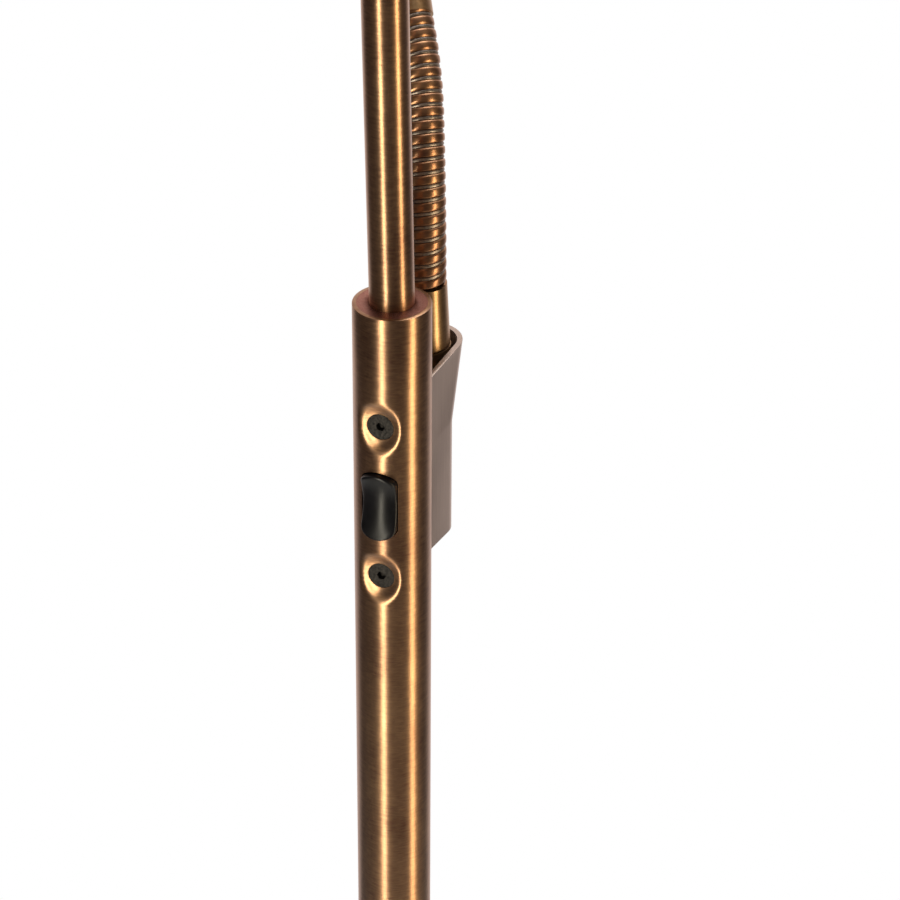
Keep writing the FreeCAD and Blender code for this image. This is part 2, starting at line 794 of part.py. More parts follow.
def lower_ferrule():
    cone = ferrule(nipple_radius + SLIP, ferrule_length - ferrule_core_depth - 1.0)
    cone.Placement = FreeCAD.Placement(goose_start, FreeCAD.Rotation(X_AXIS, 180))
    azimuth = math.radians(goose_upper_azimuth)
    hole_place = arm_foot + V(math.sin(azimuth), math.cos(azimuth), 0) * stop_groove_radius
    return cone.cut(cylinder(stop_pin_radius + SLIP, 3.2, hole_place - Z_AXIS * 0.1))


def goose_winding_points(steps_per_turn):
    """Points and tangents of the outer winding, turn by turn along the bent axis."""
    radius = goose_radius - goose_wire
    margin = goose_wire + 0.2
    turns = (goose_length - 2 * margin) / goose_pitch
    steps = int(round(turns * steps_per_turn))

    def place(fraction):
        s = margin + fraction * (goose_length - 2 * margin)
        angle = 2 * math.pi * turns * fraction
        point, turn = goose_frame(s)
        return point + turn.multVec(V(math.cos(angle), math.sin(angle), 0)) * radius

    small = 1e-5
    found = []
    for k in range(steps + 1):
        fraction = k / steps
        tangent = place(min(1.0, fraction + small)) - place(max(0.0, fraction - small))
        found.append((place(fraction), tangent.normalize()))
    return found


def biarc(start, start_direction, end, end_direction):
    """Two tangent arcs from start to end."""
    chord = end - start
    total = start_direction + end_direction
    spread = 2 * (1 - start_direction.dot(end_direction))
    reach = (-chord.dot(total) + math.sqrt(chord.dot(total) ** 2 + spread * chord.dot(chord))) / spread
    middle = (start + end) * 0.5 + (start_direction - end_direction) * (reach / 2)
    first = tangent_arc(start, start_direction, middle)
    second = tangent_arc(end, end_direction * -1, middle)
    halfway = second.valueAt((second.FirstParameter + second.LastParameter) / 2)
    return [first, Part.Arc(middle, halfway, end).toShape()]


def goose_band():
    """The bronze winding: one unbroken coil of six-sided wire round the bent axis, half a turn at a time."""
    stations = goose_winding_points(2)
    edges = []
    for (start, leaving), (end, arriving) in zip(stations, stations[1:]):
        edges += biarc(start, leaving, end, arriving)
    print("gooseneck winding: %.1f turns, least gap to itself %.2f mm" % ((len(stations) - 1) / 2, winding_gap()))
    return pipe(edges, goose_wire, sides=winding_sides)


def winding_gap():
    """The least gap between neighbouring turns, measured on points 15 degrees apart."""
    per_turn = 24
    points = [p for p, _ in goose_winding_points(per_turn)]
    least = min((points[k] - points[k + per_turn + j]).Length
                for k in range(len(points) - per_turn - 3) for j in (-2, -1, 0, 1, 2))
    return least - 2 * goose_wire


def goose_core():
    """The steel inner spring and its sleeve, as a plain bent tube that ends in both ferrules."""
    depth = ferrule_core_depth - AIR
    start, _ = goose_frame(0)
    end, turn = goose_frame(goose_length)
    edges = [Part.makeLine(start - Z_AXIS * depth, start)]
    edges += goose_axis_edges()
    edges += [Part.makeLine(end, end + turn.multVec(Z_AXIS) * depth)]
    return pipe(edges, goose_core_radius, goose_core_bore, core_sides)


def reading_lead():
    """The inner lead: from the dimmer board through the column's wall, up the post and along the arm."""
    start = V(0, 0.1 - board_back, lead_height)
    corner = V(0, arm_reach, lead_height)
    foot, _ = goose_frame(0)
    end, turn = goose_frame(goose_length)
    edges = rounded_path([start, corner, foot], lead_bend)
    edges += goose_axis_edges()
    edges += [Part.makeLine(end, end + turn.multVec(Z_AXIS) * (arm_tube_start + arm_length - 14.0))]
    return pipe(edges, lead_radius)


# ---------------------------------------------------------------- reading arm
def upper_ferrule():
    return on_arm(ferrule(upper_radius + SLIP, arm_socket))


def arm_tube():
    return on_arm(ring(upper_radius, upper_radius - arm_wall, arm_length, V(0, 0, arm_tube_start + SEAT)))


def arm_eye():
    """The turned plug in the arm's end, milled to a flat eye for the knuckle."""
    top = arm_tube_start + arm_length + SEAT
    plug = cylinder(upper_radius - arm_wall - SLIP, 12.0, V(0, 0, top - 12.0))
    shoulder = cylinder(upper_radius, 2.5, V(0, 0, top))
    tang_length = knuckle_from_goose - top
    tang = Part.makeBox(eye_thickness, 2 * eye_radius, tang_length, V(-eye_thickness / 2, -eye_radius, top))
    knob = cylinder(eye_radius, eye_thickness, V(-eye_thickness / 2, 0, knuckle_from_goose), X_AXIS)
    hole = cylinder(knuckle_screw_radius + RUNNING, 20, V(-10, 0, knuckle_from_goose), X_AXIS)
    return on_arm(plug.fuse(shoulder).fuse(tang).fuse(knob).removeSplitter().cut(hole))


# ---------------------------------------------------------------- reading head
yoke_inner = eye_thickness / 2 + yoke_gap


def head_yoke():
    """A round foot with two ears that hold the arm's eye between them."""
    foot = cylinder(yoke_base_radius, yoke_base_thickness, V(0, 0, yoke_reach - yoke_base_thickness))
    width = 2 * eye_radius
    body = foot
    for side in (-1, 1):
        x = yoke_inner if side > 0 else -yoke_inner - yoke_ear
        ear = Part.makeBox(yoke_ear, width, yoke_reach - 1.0, V(x, -eye_radius, 0))
        tip = cylinder(eye_radius, yoke_ear, V(x, 0, 0), X_AXIS)
        body = body.fuse(ear).fuse(tip)
    body = body.removeSplitter().cut(cylinder(knuckle_screw_radius + SLIP, 40, V(-20, 0, 0), X_AXIS))
    return on_head(body)


def knuckle_screw():
    """A pan-head screw through both ears and the eye."""
    side = yoke_inner + yoke_ear
    shank = cylinder(knuckle_screw_radius, 2 * side + 4.0, V(-side, 0, 0), X_AXIS)
    head = cylinder(3.6, 2.2, V(-side - 2.2, 0, 0), X_AXIS)
    slot = Part.makeBox(1.2, 8.0, 0.8, V(-side - 2.3, -4.0, -0.4))
    return on_head(head.fuse(shank).cut(slot))


def knuckle_nut():
    side = yoke_inner + yoke_ear
    return on_head(hexagon(7.0, 3.0, V(side, 0, 0), X_AXIS, knuckle_screw_radius + SLIP))


def knuckle_washers():
    """A thin friction washer on each side of the eye."""
    thickness = yoke_gap - 2 * SEAT
    rings = [ring(5.0, knuckle_screw_radius + RUNNING, thickness, V(x, 0, 0), X_AXIS)
             for x in (eye_thickness / 2 + SEAT, -yoke_inner + SEAT)]
    return on_head(Part.makeCompound(rings))


shade_back = yoke_reach
shade_front = yoke_reach + shade_length


def shade_profile(grow):
    """The shade's outer face, or that face drawn in, from its back to its mouth."""
    neck = shade_back_radius - grow
    mouth = shade_mouth_radius - grow
    waist = shade_back + shade_neck_length
    middle = (waist + shade_front) / 2
    return [(neck, waist), (neck + (mouth - neck) * 0.36, middle, True), (mouth, shade_front)]


def reading_shade():
    outer = shade_profile(0)
    inner = shade_profile(shade_wall)
    edge = 1.5
    outline = [(3.0, shade_back), (shade_back_radius - edge, shade_back),
               (shade_back_radius - edge * 0.293, shade_back + edge * 0.293, True),
               (shade_back_radius, shade_back + edge)]
    outline += outer
    outline += [p for p in reversed(inner)]
    outline += [(shade_back_radius - shade_wall, shade_back + shade_wall), (3.0, shade_back + shade_wall)]
    return on_head(turned(outline, spun_steps))


def heat_sink():
    """A finned aluminium block behind the reading light."""
    start = shade_back + shade_wall + SEAT
    core = cylinder(sink_radius * 0.55, sink_length, V(0, 0, start))
    for k in range(sink_fins):
        fin = Part.makeBox(sink_radius - 1.0, 1.4, sink_length, V(0, -0.7, start))
        fin.rotate(V(0, 0, 0), Z_AXIS, 360.0 * k / sink_fins)
        core = core.fuse(fin)
    plate = cylinder(sink_radius, 2.0, V(0, 0, start + sink_length))
    return on_head(core.fuse(plate).removeSplitter())


sink_face = shade_back + shade_wall + SEAT + sink_length + 2.0


def reading_led():
    """The light source: a small aluminium board with its emitter."""
    board = cylinder(sink_radius, 1.6, V(0, 0, sink_face))
    emitter = cylinder(5.0, 1.0, V(0, 0, sink_face + 1.6))
    return on_head(board.fuse(emitter).removeSplitter())


lens_back = shade_front - lens_recess - lens_thickness
lens_radius = spun_radius(shade_profile(shade_wall + ring_air), lens_back) - ring_wall


def reading_reflector():
    """A spun cone that carries the light from the board to the lens."""
    start = sink_face + 1.6
    stop = lens_back - ring_ledge - SEAT
    wall = 0.8
    wide = spun_radius(shade_profile(shade_wall), stop) - 2 * wall
    return on_head(turned([(6.0, start), (6.0 + wall, start), (wide + wall, stop), (wide, stop)]))


def reading_lens():
    return on_head(cylinder(lens_radius - 0.2, lens_thickness, V(0, 0, lens_back)))


def lens_ring():
    """The ring inside the shade's mouth that holds the lens."""
    start = lens_back - ring_ledge
    stop = shade_front - 0.2
    space = turned([(0, shade_back)] + shade_profile(shade_wall + ring_air) + [(0, shade_front)], spun_steps)
    body = space.common(ring(shade_mouth_radius, lens_radius - 1.5, stop - start, V(0, 0, start)))
    return on_head(body.cut(cylinder(lens_radius, lens_thickness + lens_recess + 1.0, V(0, 0, lens_back - SEAT))))


# ---------------------------------------------------------------- uplighter
dish_foot = upper_length + hub_height - hub_overlap
dish_rim = dish_foot + dish_depth


def dish_hub():
    """The turned hub on the tube's end that the dish sits on."""
    bottom = upper_length - hub_overlap
    outline = [
        (upper_radius + SLIP, bottom), (upper_radius + 2.5, bottom), (upper_radius + 3.5, bottom + 4.0),
        (hub_radius, dish_foot - 3.0), (hub_radius, dish_foot),
        (nipple_radius + SLIP, dish_foot), (nipple_radius + SLIP, upper_length + SEAT),
        (upper_radius + SLIP, upper_length + SEAT),
    ]
    return on_upper_tube(turned(outline))


bush_length = 14.0
dish_nut_top = dish_foot + dish_wall + washer_thickness + nut_height


def top_nipple():
    start = upper_length - bush_length
    return on_upper_tube(ring(nipple_radius, nipple_bore, dish_nut_top + 1.0 - start, V(0, 0, start)))


def nipple_bush():
    """The threaded bush pressed into the tube's top."""
    start = V(0, 0, upper_length - bush_length)
    return on_upper_tube(ring(upper_radius - upper_wall - SLIP, nipple_radius + SLIP, bush_length, start))


def dish_profile(grow):
    """The spun dish's underside, or that face drawn in, from its foot to its rim."""
    foot = dish_foot_radius
    rim = dish_radius - grow
    height = dish_foot + grow
    middle_radius = foot + (dish_radius - foot) * 0.62 - grow * 0.45
    middle_height = dish_foot + dish_depth * 0.30 + grow * 0.9
    return [(foot, height), (middle_radius, middle_height, True), (rim, dish_rim)]


def dish_shell():
    outer = dish_profile(0)
    inner = dish_profile(dish_wall)
    outline = [(nipple_radius + AIR, dish_foot)] + outer
    outline += [p for p in reversed(inner)]
    outline += [(nipple_radius + AIR, dish_foot + dish_wall)]
    return on_upper_tube(turned(outline, spun_steps))


def dish_washer():
    washer = ring(washer_radius, nipple_radius + 0.2, washer_thickness, V(0, 0, dish_foot + dish_wall))
    return on_upper_tube(washer)


def dish_nut():
    start = dish_foot + dish_wall + washer_thickness
    return on_upper_tube(hexagon(nut_across_flats, nut_height, V(0, 0, start), Z_AXIS, nipple_radius + SLIP))


driver_bottom = dish_nut_top + nut_air


def uplight_driver():
    """The power supply that hangs under the light board."""
    return on_upper_tube(cylinder(driver_radius, driver_height, V(0, 0, driver_bottom)))


def uplight_board():
    """An aluminium disc, its rim carried on the dish, with a ring of emitters."""
    start = driver_bottom + driver_height
    radius = spun_radius(dish_profile(dish_wall), start) - SEAT
    board = cylinder(radius, uplight_board_thickness, V(0, 0, start))
    count = 6
    for k in range(count):
        angle = 2 * math.pi * k / count
        place = V(70 * math.cos(angle), 70 * math.sin(angle), start + uplight_board_thickness)
        board = board.fuse(cylinder(3.0, 1.0, place))
    return on_upper_tube(board)


ring_inner = dish_radius - dish_wall - ring_width


def uplight_diffuser():
    """The opal cover, flat with a bevelled edge, proud of its ring."""
    radius = ring_inner - 0.3
    base = dish_rim - diffuser_thickness
    top = dish_rim + diffuser_crown
    outline = [(0, base), (radius, base), (radius, top - diffuser_bevel), (radius - diffuser_bevel, top), (0, top)]
    return on_upper_tube(turned(outline))


def diffuser_ring():
    """The bronze ring between the dish's rim and the opal cover."""
    bottom = dish_rim - diffuser_thickness - 1.5
    ledge = 3.0
    space = turned([(0, dish_foot + dish_wall)] + dish_profile(dish_wall + ring_air) + [(0, dish_rim)], spun_steps)
    skirt = space.common(ring(dish_radius, ring_inner - ledge, dish_rim - bottom, V(0, 0, bottom)))
    collar = ring(dish_radius - dish_wall - 0.8, ring_inner, ring_lip + 0.2, V(0, 0, dish_rim - 0.2))
    lip = ring(dish_radius, ring_inner, ring_lip - SEAT, V(0, 0, dish_rim + SEAT))
    body = skirt.fuse(collar).fuse(lip).removeSplitter()
    pocket = cylinder(ring_inner, diffuser_thickness + SEAT, V(0, 0, dish_rim - diffuser_thickness - SEAT))
    return on_upper_tube(body.cut(pocket))


# ---------------------------------------------------------------- inner leads
def column_lead():
    """The supply lead from the gland, up the base nipple to the dimmer board."""
    start = V(0, base_radius - cover_wall - gland_flange - 0.1, gland_height)
    corner = V(0, 0, gland_height)
    top = V(0, 0, z_from_top(carrier_bottom + 4.0) - 0.1)
    return pipe(rounded_path([start, corner, top], lead_bend), lead_radius)


def upper_lead():
    """The lead from the dimmer board up the leaning tube to the uplighter's driver."""
    start = V(0, 0, z_from_top(carrier_top - 4.0) + 0.1)
    corner = V(0, 0, column_top)
    top = corner + upper_direction * (driver_bottom - 0.1)
    return pipe(rounded_path([start, corner, top], gentle_bend), lead_radius)


PARTS = {
    "floor_pad": floor_pad, "base_plate": base_plate, "base_weight": base_weight, "base_cover": base_cover,
    "base_nut": base_nut, "base_washer": base_washer, "base_nipple": base_nipple, "cable_gland": cable_gland,
    "foot_collar": foot_collar, "column_foot": column_foot, "lower_column": lower_column,
    "column_plug": column_plug, "upper_tube": upper_tube,
    "switch_carrier": switch_carrier, "carrier_inserts": carrier_inserts, "carrier_screws": carrier_screws,
    "rocker": rocker, "rocker_pin": rocker_pin, "dimmer_board": dimmer_board, "tact_switches": tact_switches,
    "reading_bracket": reading_bracket, "bracket_web": bracket_web, "swivel_post": swivel_post,
    "friction_washer": friction_washer, "stop_pin": stop_pin, "swivel_nipple": swivel_nipple,
    "wave_washer": wave_washer, "swivel_nut": swivel_nut,
    "lower_ferrule": lower_ferrule, "gooseneck_band": goose_band, "gooseneck_core": goose_core,
    "reading_lead": reading_lead,
    "upper_ferrule": upper_ferrule, "arm_tube": arm_tube, "arm_eye": arm_eye,
    "head_yoke": head_yoke, "knuckle_screw": knuckle_screw, "knuckle_nut": knuckle_nut,
    "knuckle_washers": knuckle_washers, "reading_shade": reading_shade, "heat_sink": heat_sink,
    "reading_led": reading_led, "reading_reflector": reading_reflector, "reading_lens": reading_lens,
    "lens_ring": lens_ring,
    "dish_hub": dish_hub, "top_nipple": top_nipple, "nipple_bush": nipple_bush, "dish_shell": dish_shell,
    "dish_washer": dish_washer, "dish_nut": dish_nut, "uplight_driver": uplight_driver,
    "uplight_board": uplight_board, "uplight_diffuser": uplight_diffuser, "diffuser_ring": diffuser_ring,
    "column_lead": column_lead, "upper_lead": upper_lead,
}

os.makedirs("parts", exist_ok=True)
for name, build in PARTS.items():
    save(name, build())

print("arm swivel axis: x 0, y %.4f m, z %.4f m" % (arm_reach / 1000, web_top / 1000))
bend_point, _ = goose_frame(goose_length / 2)
print("gooseneck bend pivot:", [round(c / 1000, 5) for c in bend_point])
print("hinge axis:", [round(c, 6) for c in hinge_axis])
print("knuckle:", [round(c / 1000, 5) for c in knuckle])
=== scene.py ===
# %% [markdown]
# A floor lamp seen close up at its switch: a wide bronze tube with two countersunk screws and a rocker, a
# thinner tube above it, and a gooseneck held by a folded bracket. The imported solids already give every
# piece its place. They could all be shown as they are, but a camera this close would see their facets. So
# the tubes, the rocker and the gooseneck are made again, the other outer pieces are merged and smoothed,
# and every surface gets the finish of the real material.

# %% Frame
import bpy
import bmesh
import json
import math
from mathutils import Matrix, Quaternion, Vector


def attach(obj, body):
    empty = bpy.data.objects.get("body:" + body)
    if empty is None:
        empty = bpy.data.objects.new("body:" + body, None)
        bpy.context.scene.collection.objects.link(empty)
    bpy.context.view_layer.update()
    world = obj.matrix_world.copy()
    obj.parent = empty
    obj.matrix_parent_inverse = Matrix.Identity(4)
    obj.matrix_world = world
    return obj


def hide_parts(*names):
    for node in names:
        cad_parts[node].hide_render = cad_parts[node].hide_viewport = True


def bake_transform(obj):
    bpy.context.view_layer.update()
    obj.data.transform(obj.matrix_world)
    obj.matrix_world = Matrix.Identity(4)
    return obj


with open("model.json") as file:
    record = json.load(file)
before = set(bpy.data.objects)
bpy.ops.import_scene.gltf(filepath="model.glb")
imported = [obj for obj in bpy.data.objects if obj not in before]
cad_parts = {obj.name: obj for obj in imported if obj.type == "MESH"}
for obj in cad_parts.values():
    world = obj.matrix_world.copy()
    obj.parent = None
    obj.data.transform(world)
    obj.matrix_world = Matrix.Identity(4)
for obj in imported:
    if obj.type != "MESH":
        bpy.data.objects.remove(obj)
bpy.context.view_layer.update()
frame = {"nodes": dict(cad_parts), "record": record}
nodes = frame["nodes"]
MM = 0.001             # lengths are written in millimetres, and Blender works in metres
COLUMN_TOP = 1105.0    # height of the wide tube's top, from which the pieces near it are placed

# %% [markdown]
# The camera comes first, because everything after it is judged through it. It could be placed by eye. It
# was fitted instead to the oval of the column's top, the straight edges of both tubes and the two screws,
# so it stands where the picture was taken from: close, 31 degrees above, and 22 degrees round from the
# switch.

# %% Camera
SENSOR_MM, FOCAL_MM, FAR_CLIP = 36.0, 125.70, 50
PITCH, YAW, ROLL = math.radians(30.952), math.radians(1.2207), math.radians(0.4067)
DISTANCE_MM, RISE_MM = 962.10, 517.04
turn = Matrix.Rotation(math.radians(22.2), 3, "Z")    # round the column, from the switch to the camera
forward = Vector((math.sin(YAW) * math.cos(PITCH), math.cos(YAW) * math.cos(PITCH), -math.sin(PITCH)))
level = Vector((math.cos(YAW), -math.sin(YAW), 0))
upward = level.cross(forward)
right = level * math.cos(ROLL) + upward * math.sin(ROLL)
top = upward * math.cos(ROLL) - level * math.sin(ROLL)
axes = Matrix([turn @ right, turn @ top, turn @ -forward]).transposed().to_4x4()
place = turn @ Vector((0, -DISTANCE_MM, RISE_MM)) + Vector((0, 0, COLUMN_TOP))
camera = bpy.data.objects.new("camera", bpy.data.cameras.new("camera"))
bpy.context.scene.collection.objects.link(camera)
camera.matrix_world = Matrix.Translation(place * MM) @ axes
camera.data.sensor_width = SENSOR_MM
camera.data.lens = FOCAL_MM
camera.data.clip_end = FAR_CLIP
bpy.context.scene.camera = camera
bpy.context.scene.view_settings.view_transform = "Standard"
print("camera at", [round(c, 3) for c in camera.matrix_world.translation])

# %% [markdown]
# A finish is a small tree of nodes. It could be built by hand in the editor, node by node. These helpers
# keep each tree short instead: one adds a node with its settings and links, one turns a hex colour to
# linear, and the rest are the few steps that every finish here shares. Patterns are counted in cells
# to 10 mm of surface.

# %% Finish helpers
NOISE_DARK, NOISE_LIGHT = 0.3, 0.7    # noise keeps near its middle, so the colours run over this stretch
TEN_MM = 10 * MM


def linear(hex_colour):
    """An sRGB hex colour as linear values with alpha."""
    parts = [int(hex_colour[i:i + 2], 16) / 255 for i in (1, 3, 5)]
    return [c / 12.92 if c <= 0.04045 else ((c + 0.055) / 1.055) ** 2.4 for c in parts] + [1.0]


def add(tree, kind, settings=None, inputs=None):
    """Adds a node. Inputs that are sockets are linked, and the others are set as values."""
    node = tree.nodes.new("ShaderNode" + kind)
    for name, value in (settings or {}).items():
        setattr(node, name, value)
    for name, value in (inputs or {}).items():
        if isinstance(value, bpy.types.NodeSocket):
            tree.links.new(value, node.inputs[name])
        else:
            node.inputs[name].default_value = value
    return node


def two_tone(tree, factor, dark, light):
    """A colour that runs from dark to light over the middle of a factor."""
    node = add(tree, "ValToRGB", None, {"Fac": factor})
    ends = ((NOISE_DARK, dark), (NOISE_LIGHT, light))
    for element, (position, colour) in zip(node.color_ramp.elements, ends):
        element.position = position
        element.color = linear(colour)
    return node.outputs["Color"]


def spread(tree, factor, low, high):
    """A number that runs from low to high with a factor."""
    return add(tree, "MapRange", None, {"Value": factor, "To Min": low, "To Max": high}).outputs["Result"]


def noise(tree, where, cells, detail=3.0):
    """Noise with its own number of cells to 10 mm along X, Y and Z."""
    scale = [count / TEN_MM for count in cells]
    scaled = add(tree, "Mapping", None, {"Vector": where, "Scale": scale}).outputs["Vector"]
    return add(tree, "TexNoise", None, {"Vector": scaled, "Scale": 1.0, "Detail": detail}).outputs[0]


def surface(name, metallic):
    """An empty finish: its material, tree, shader and the piece's own coordinates in metres."""
    material = bpy.data.materials.new(name)
    material.use_nodes = True
    tree = material.node_tree
    shader = tree.nodes["Principled BSDF"]
    shader.inputs["Metallic"].default_value = metallic
    return material, tree, shader, add(tree, "TexCoord").outputs["Object"]


def relief(tree, shader, height, depth_mm):
    """Raises the surface by a real depth."""
    bump = add(tree, "Bump", None, {"Height": height, "Distance": depth_mm * MM, "Strength": 1.0})
    tree.links.new(bump.outputs["Normal"], shader.inputs["Normal"])


# %% [markdown]
# Brushed bronze is the lamp's main finish. The tube turned against an abrasive belt, so fine scratches run
# round it and spread each lamp's reflection along it: two tall bright lines. Bump alone would need
# scratches finer than a pixel to do that, so the shader's own anisotropy stretches the highlight along the
# tube. The real scratches are about 0.05 mm apart, too fine for this render. They are drawn about 0.7 mm
# apart, and slower blotches stand for the hand-rubbed antiquing. A clear coat stands for the lacquer.

# %% Brushed metal
BLOTCHES = (0.7, 0.7, 0.38)
LINE_SHARE, BLOTCH_SHARE = 0.5, 0.5
SMOOTHER, ROUGHER = 0.05, 0.07
LACQUER_ROUGHNESS = 0.3
# Not quite upright, because an upright direction would have no length across a level face.
UPRIGHT = (0.03, 0.02, 1.0)


def brushed(name, dark, light, roughness, cells, stretch, depth_mm=0.003, along=UPRIGHT, lacquer=0.0):
    """A brushed metal with its lines to 10 mm on each axis, stretching highlights along one direction.

    The lacquer is the weight of a clear coat over it.
    """
    material, tree, shader, where = surface(name, 1.0)
    lines = noise(tree, where, cells, 4.0)
    blotches = spread(tree, noise(tree, where, BLOTCHES), 0.0, BLOTCH_SHARE)
    mix = {0: lines, 1: LINE_SHARE, 2: blotches}
    mixed = add(tree, "Math", {"operation": "MULTIPLY_ADD"}, mix).outputs[0]
    tree.links.new(two_tone(tree, mixed, dark, light), shader.inputs["Base Color"])
    rough = spread(tree, lines, roughness - SMOOTHER, roughness + ROUGHER)
    tree.links.new(rough, shader.inputs["Roughness"])
    shader.inputs["Anisotropic"].default_value = stretch
    shader.inputs["Coat Weight"].default_value = lacquer
    shader.inputs["Coat Roughness"].default_value = LACQUER_ROUGHNESS
    axis = add(tree, "CombineXYZ", None, {"X": along[0], "Y": along[1], "Z": along[2]}).outputs[0]
    turning = {"vector_type": "VECTOR", "convert_from": "OBJECT", "convert_to": "WORLD"}
    turned = add(tree, "VectorTransform", turning, {"Vector": axis})
    tree.links.new(turned.outputs[0], shader.inputs["Tangent"])
    relief(tree, shader, lines, depth_mm)
    return material


# %% [markdown]
# Everything that isn't brushed has grain: moulded plastic, black oxide on steel, felt, rubber and cast
# iron. Each could have a tree of its own, but they differ only in the grain's size and depth, and in how
# far it changes colour and roughness. So one function makes them all.


# %% Grained surfaces
def grained(name, dark, light, roughness, metallic, cells, depth_mm, spread_by=0.05):
    """A surface with grain of 10 / cells millimetres."""
    material, tree, shader, where = surface(name, metallic)
    grain = noise(tree, where, (cells, cells, cells))
    tree.links.new(two_tone(tree, grain, dark, light), shader.inputs["Base Color"])
    rough = spread(tree, grain, roughness - spread_by, roughness + spread_by)
    tree.links.new(rough, shader.inputs["Roughness"])
    relief(tree, shader, grain, depth_mm)
    return material


# %% [markdown]
# Each finish starts from what the real surface is and how it was made, and was then matched to the lamp.
# Most real grain here, such as that of zinc, oxide, felt or a moulding, is finer than a pixel of this
# render. It could be left out, but a flat colour looks dead, so it is drawn as coarse as it needs to show:
# 0.4 to 3 mm.

# %% Finishes
ARM_ALONG = (-0.42, 0.57, 0.71)    # the direction of the slanting reading arm
MOULDING_SPECULAR = 0.28
FINISHES = {
    # Brushed bronze, antiqued brown: golden where a lamp shines, nearly black brown between.
    "antique_bronze": brushed("brushed_antique_bronze", "#7b543b", "#b99069", 0.34, (3.3, 3.3, 15), 0.8,
                              depth_mm=0.045, lacquer=0.5),
    # The same metal, linished on flat sheet, with faint streaks that run up it. Its base colour is painted
    # greyer and lighter than the tube's: a painted reflection of the white room that the flat cheek mirrors.
    "linished_sheet": brushed("linished_bronze_painted_reflection", "#98877c", "#b6a69a", 0.42, (15, 15, 0.3), 0.4, 0.002,
                              lacquer=0.5),
    # A turned face of the same metal: fine, pinkish and dull.
    "turned_face": grained("turned_bronze_face", "#84564a", "#a27466", 0.45, 1.0, 18, 0.003),
    # Turned brass, antiqued: yellower than the tube, with finer lines.
    "bronze_turned": brushed("turned_antique_brass", "#94714c", "#bf9c72", 0.36, (2.6, 2.6, 22), 0.7, 0.008,
                             lacquer=0.3),
    # A rolled strip of that brass, smooth along its turns.
    "winding": brushed("rolled_brass_strip", "#875a42", "#b58a62", 0.34, (2.6, 2.6, 7), 0.5, 0.0005,
                       lacquer=0.3),
    # Drawn steel wire, dulled grey in the bottom of the groove.
    "groove_wire": grained("drawn_steel_wire", "#84786f", "#aca196", 0.42, 1.0, 15, 0.002),
    # A glossy moulding: black, with a soft reflection in its hollow and a thin light rim.
    "black_rocker": grained("gloss_black_moulding", "#08080a", "#0e0e11", 0.3, 0.0, 3, 0.002, 0.03),
    # Black oxide over forged steel: matte, with sparkles from its grain.
    "black_steel": grained("black_oxide_steel", "#161514", "#34312f", 0.4, 0.8, 13, 0.14, 0.14),
    # Zinc plating over turned steel: a bright, slightly cloudy grey.
    "plated_steel": brushed("zinc_plated_steel", "#9c9ca0", "#c9c9c6", 0.28, (4, 4, 9), 0.2),
    # Brass straight from the lathe: the yellowest and shiniest metal here, with fine rings.
    "plain_brass": brushed("machined_brass", "#b8914a", "#d0ac66", 0.25, (4, 4, 25), 0.3),
    # Sand-cast iron under black paint: dull, with a coarse skin that the paint doesn't fill.
    "cast_iron": grained("painted_cast_iron", "#1c1c1d", "#2c2c2c", 0.6, 0.0, 5, 0.08),
    # Pressed wool felt: black, with hardly a highlight and a fibrous surface.
    "felt": grained("pressed_felt", "#161616", "#2a2a2a", 0.95, 0.0, 24, 0.1),
    # Moulded rubber: black and matte, with a faint bloom.
    "rubber": grained("matte_rubber", "#0c0c0c", "#161616", 0.7, 0.0, 12, 0.01),
    # Moulded polyamide: black, half matte from the texture of its mould.
    "inner_plastic": grained("black_polyamide", "#121212", "#1c1c1c", 0.5, 0.0, 15, 0.008),
    # Glass-fibre board under green lacquer: satin and a little uneven.
    "board": grained("circuit_board_lacquer", "#12402a", "#1c5a3a", 0.45, 0.0, 7, 0.01),
    # Turned aluminium: pale grey, with fine rings.
    "bare_aluminium": brushed("machined_aluminium", "#b6b6ba", "#d2d2d2", 0.3, (3, 3, 18), 0.3),
    # Opal acrylic with the lamp off: a warm satin white.
    "opal": grained("opal_acrylic", "#d6d4cc", "#e2e0d8", 0.42, 0.0, 6, 0.004),
}
# The arm slants, so the finishes of its pieces stretch their highlights along it.
FINISHES["arm_bronze"] = brushed("brushed_arm_bronze", "#7b543b", "#b99069", 0.34, (5, 5, 5), 0.7, 0.004,
                                 ARM_ALONG, 0.5)
FINISHES["arm_brass"] = brushed("turned_arm_brass", "#94714c", "#bf9c72", 0.36, (7, 7, 7), 0.6, 0.004,
                                ARM_ALONG, 0.3)
# The moulding's face is finely textured, so it mirrors less than polished plastic does.
moulding = FINISHES["black_rocker"].node_tree.nodes["Principled BSDF"]
moulding.inputs["Specular IOR Level"].default_value = MOULDING_SPECULAR
print("finishes", len(FINISHES))

# %% [markdown]
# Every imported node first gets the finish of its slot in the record. Most of them are inside the lamp and
# could keep one plain colour, but the finished model can be taken apart, so each piece has its real
# material.

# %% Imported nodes
record = frame["record"]
slots = {part["node"]: part["material_slot"] for part in record["subparts"]}
bodies = {node: body for body, members in record["behaviour"]["bodies"].items() for node in members}
for name, node in nodes.items():
    node.data.materials.clear()
    node.data.materials.append(FINISHES[slots[name]])

# %% [markdown]
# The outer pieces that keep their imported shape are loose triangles, which would look faceted. They could be
# modelled again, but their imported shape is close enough. So a copy of each is merged and shaded smooth
# where its faces meet gently. The hard-edged ones get a fine bevel too, because a real edge is never quite
# sharp and catches a thin line of light.

# %% Smoothed copies
WELD, FINE_WELD = 1e-6, 1e-7    # metres between points that are merged
EDGE_MM, EDGE_SEGMENTS = 0.25, 2
SMOOTH_ANGLE, BEVEL_ANGLE = math.radians(35), math.radians(40)


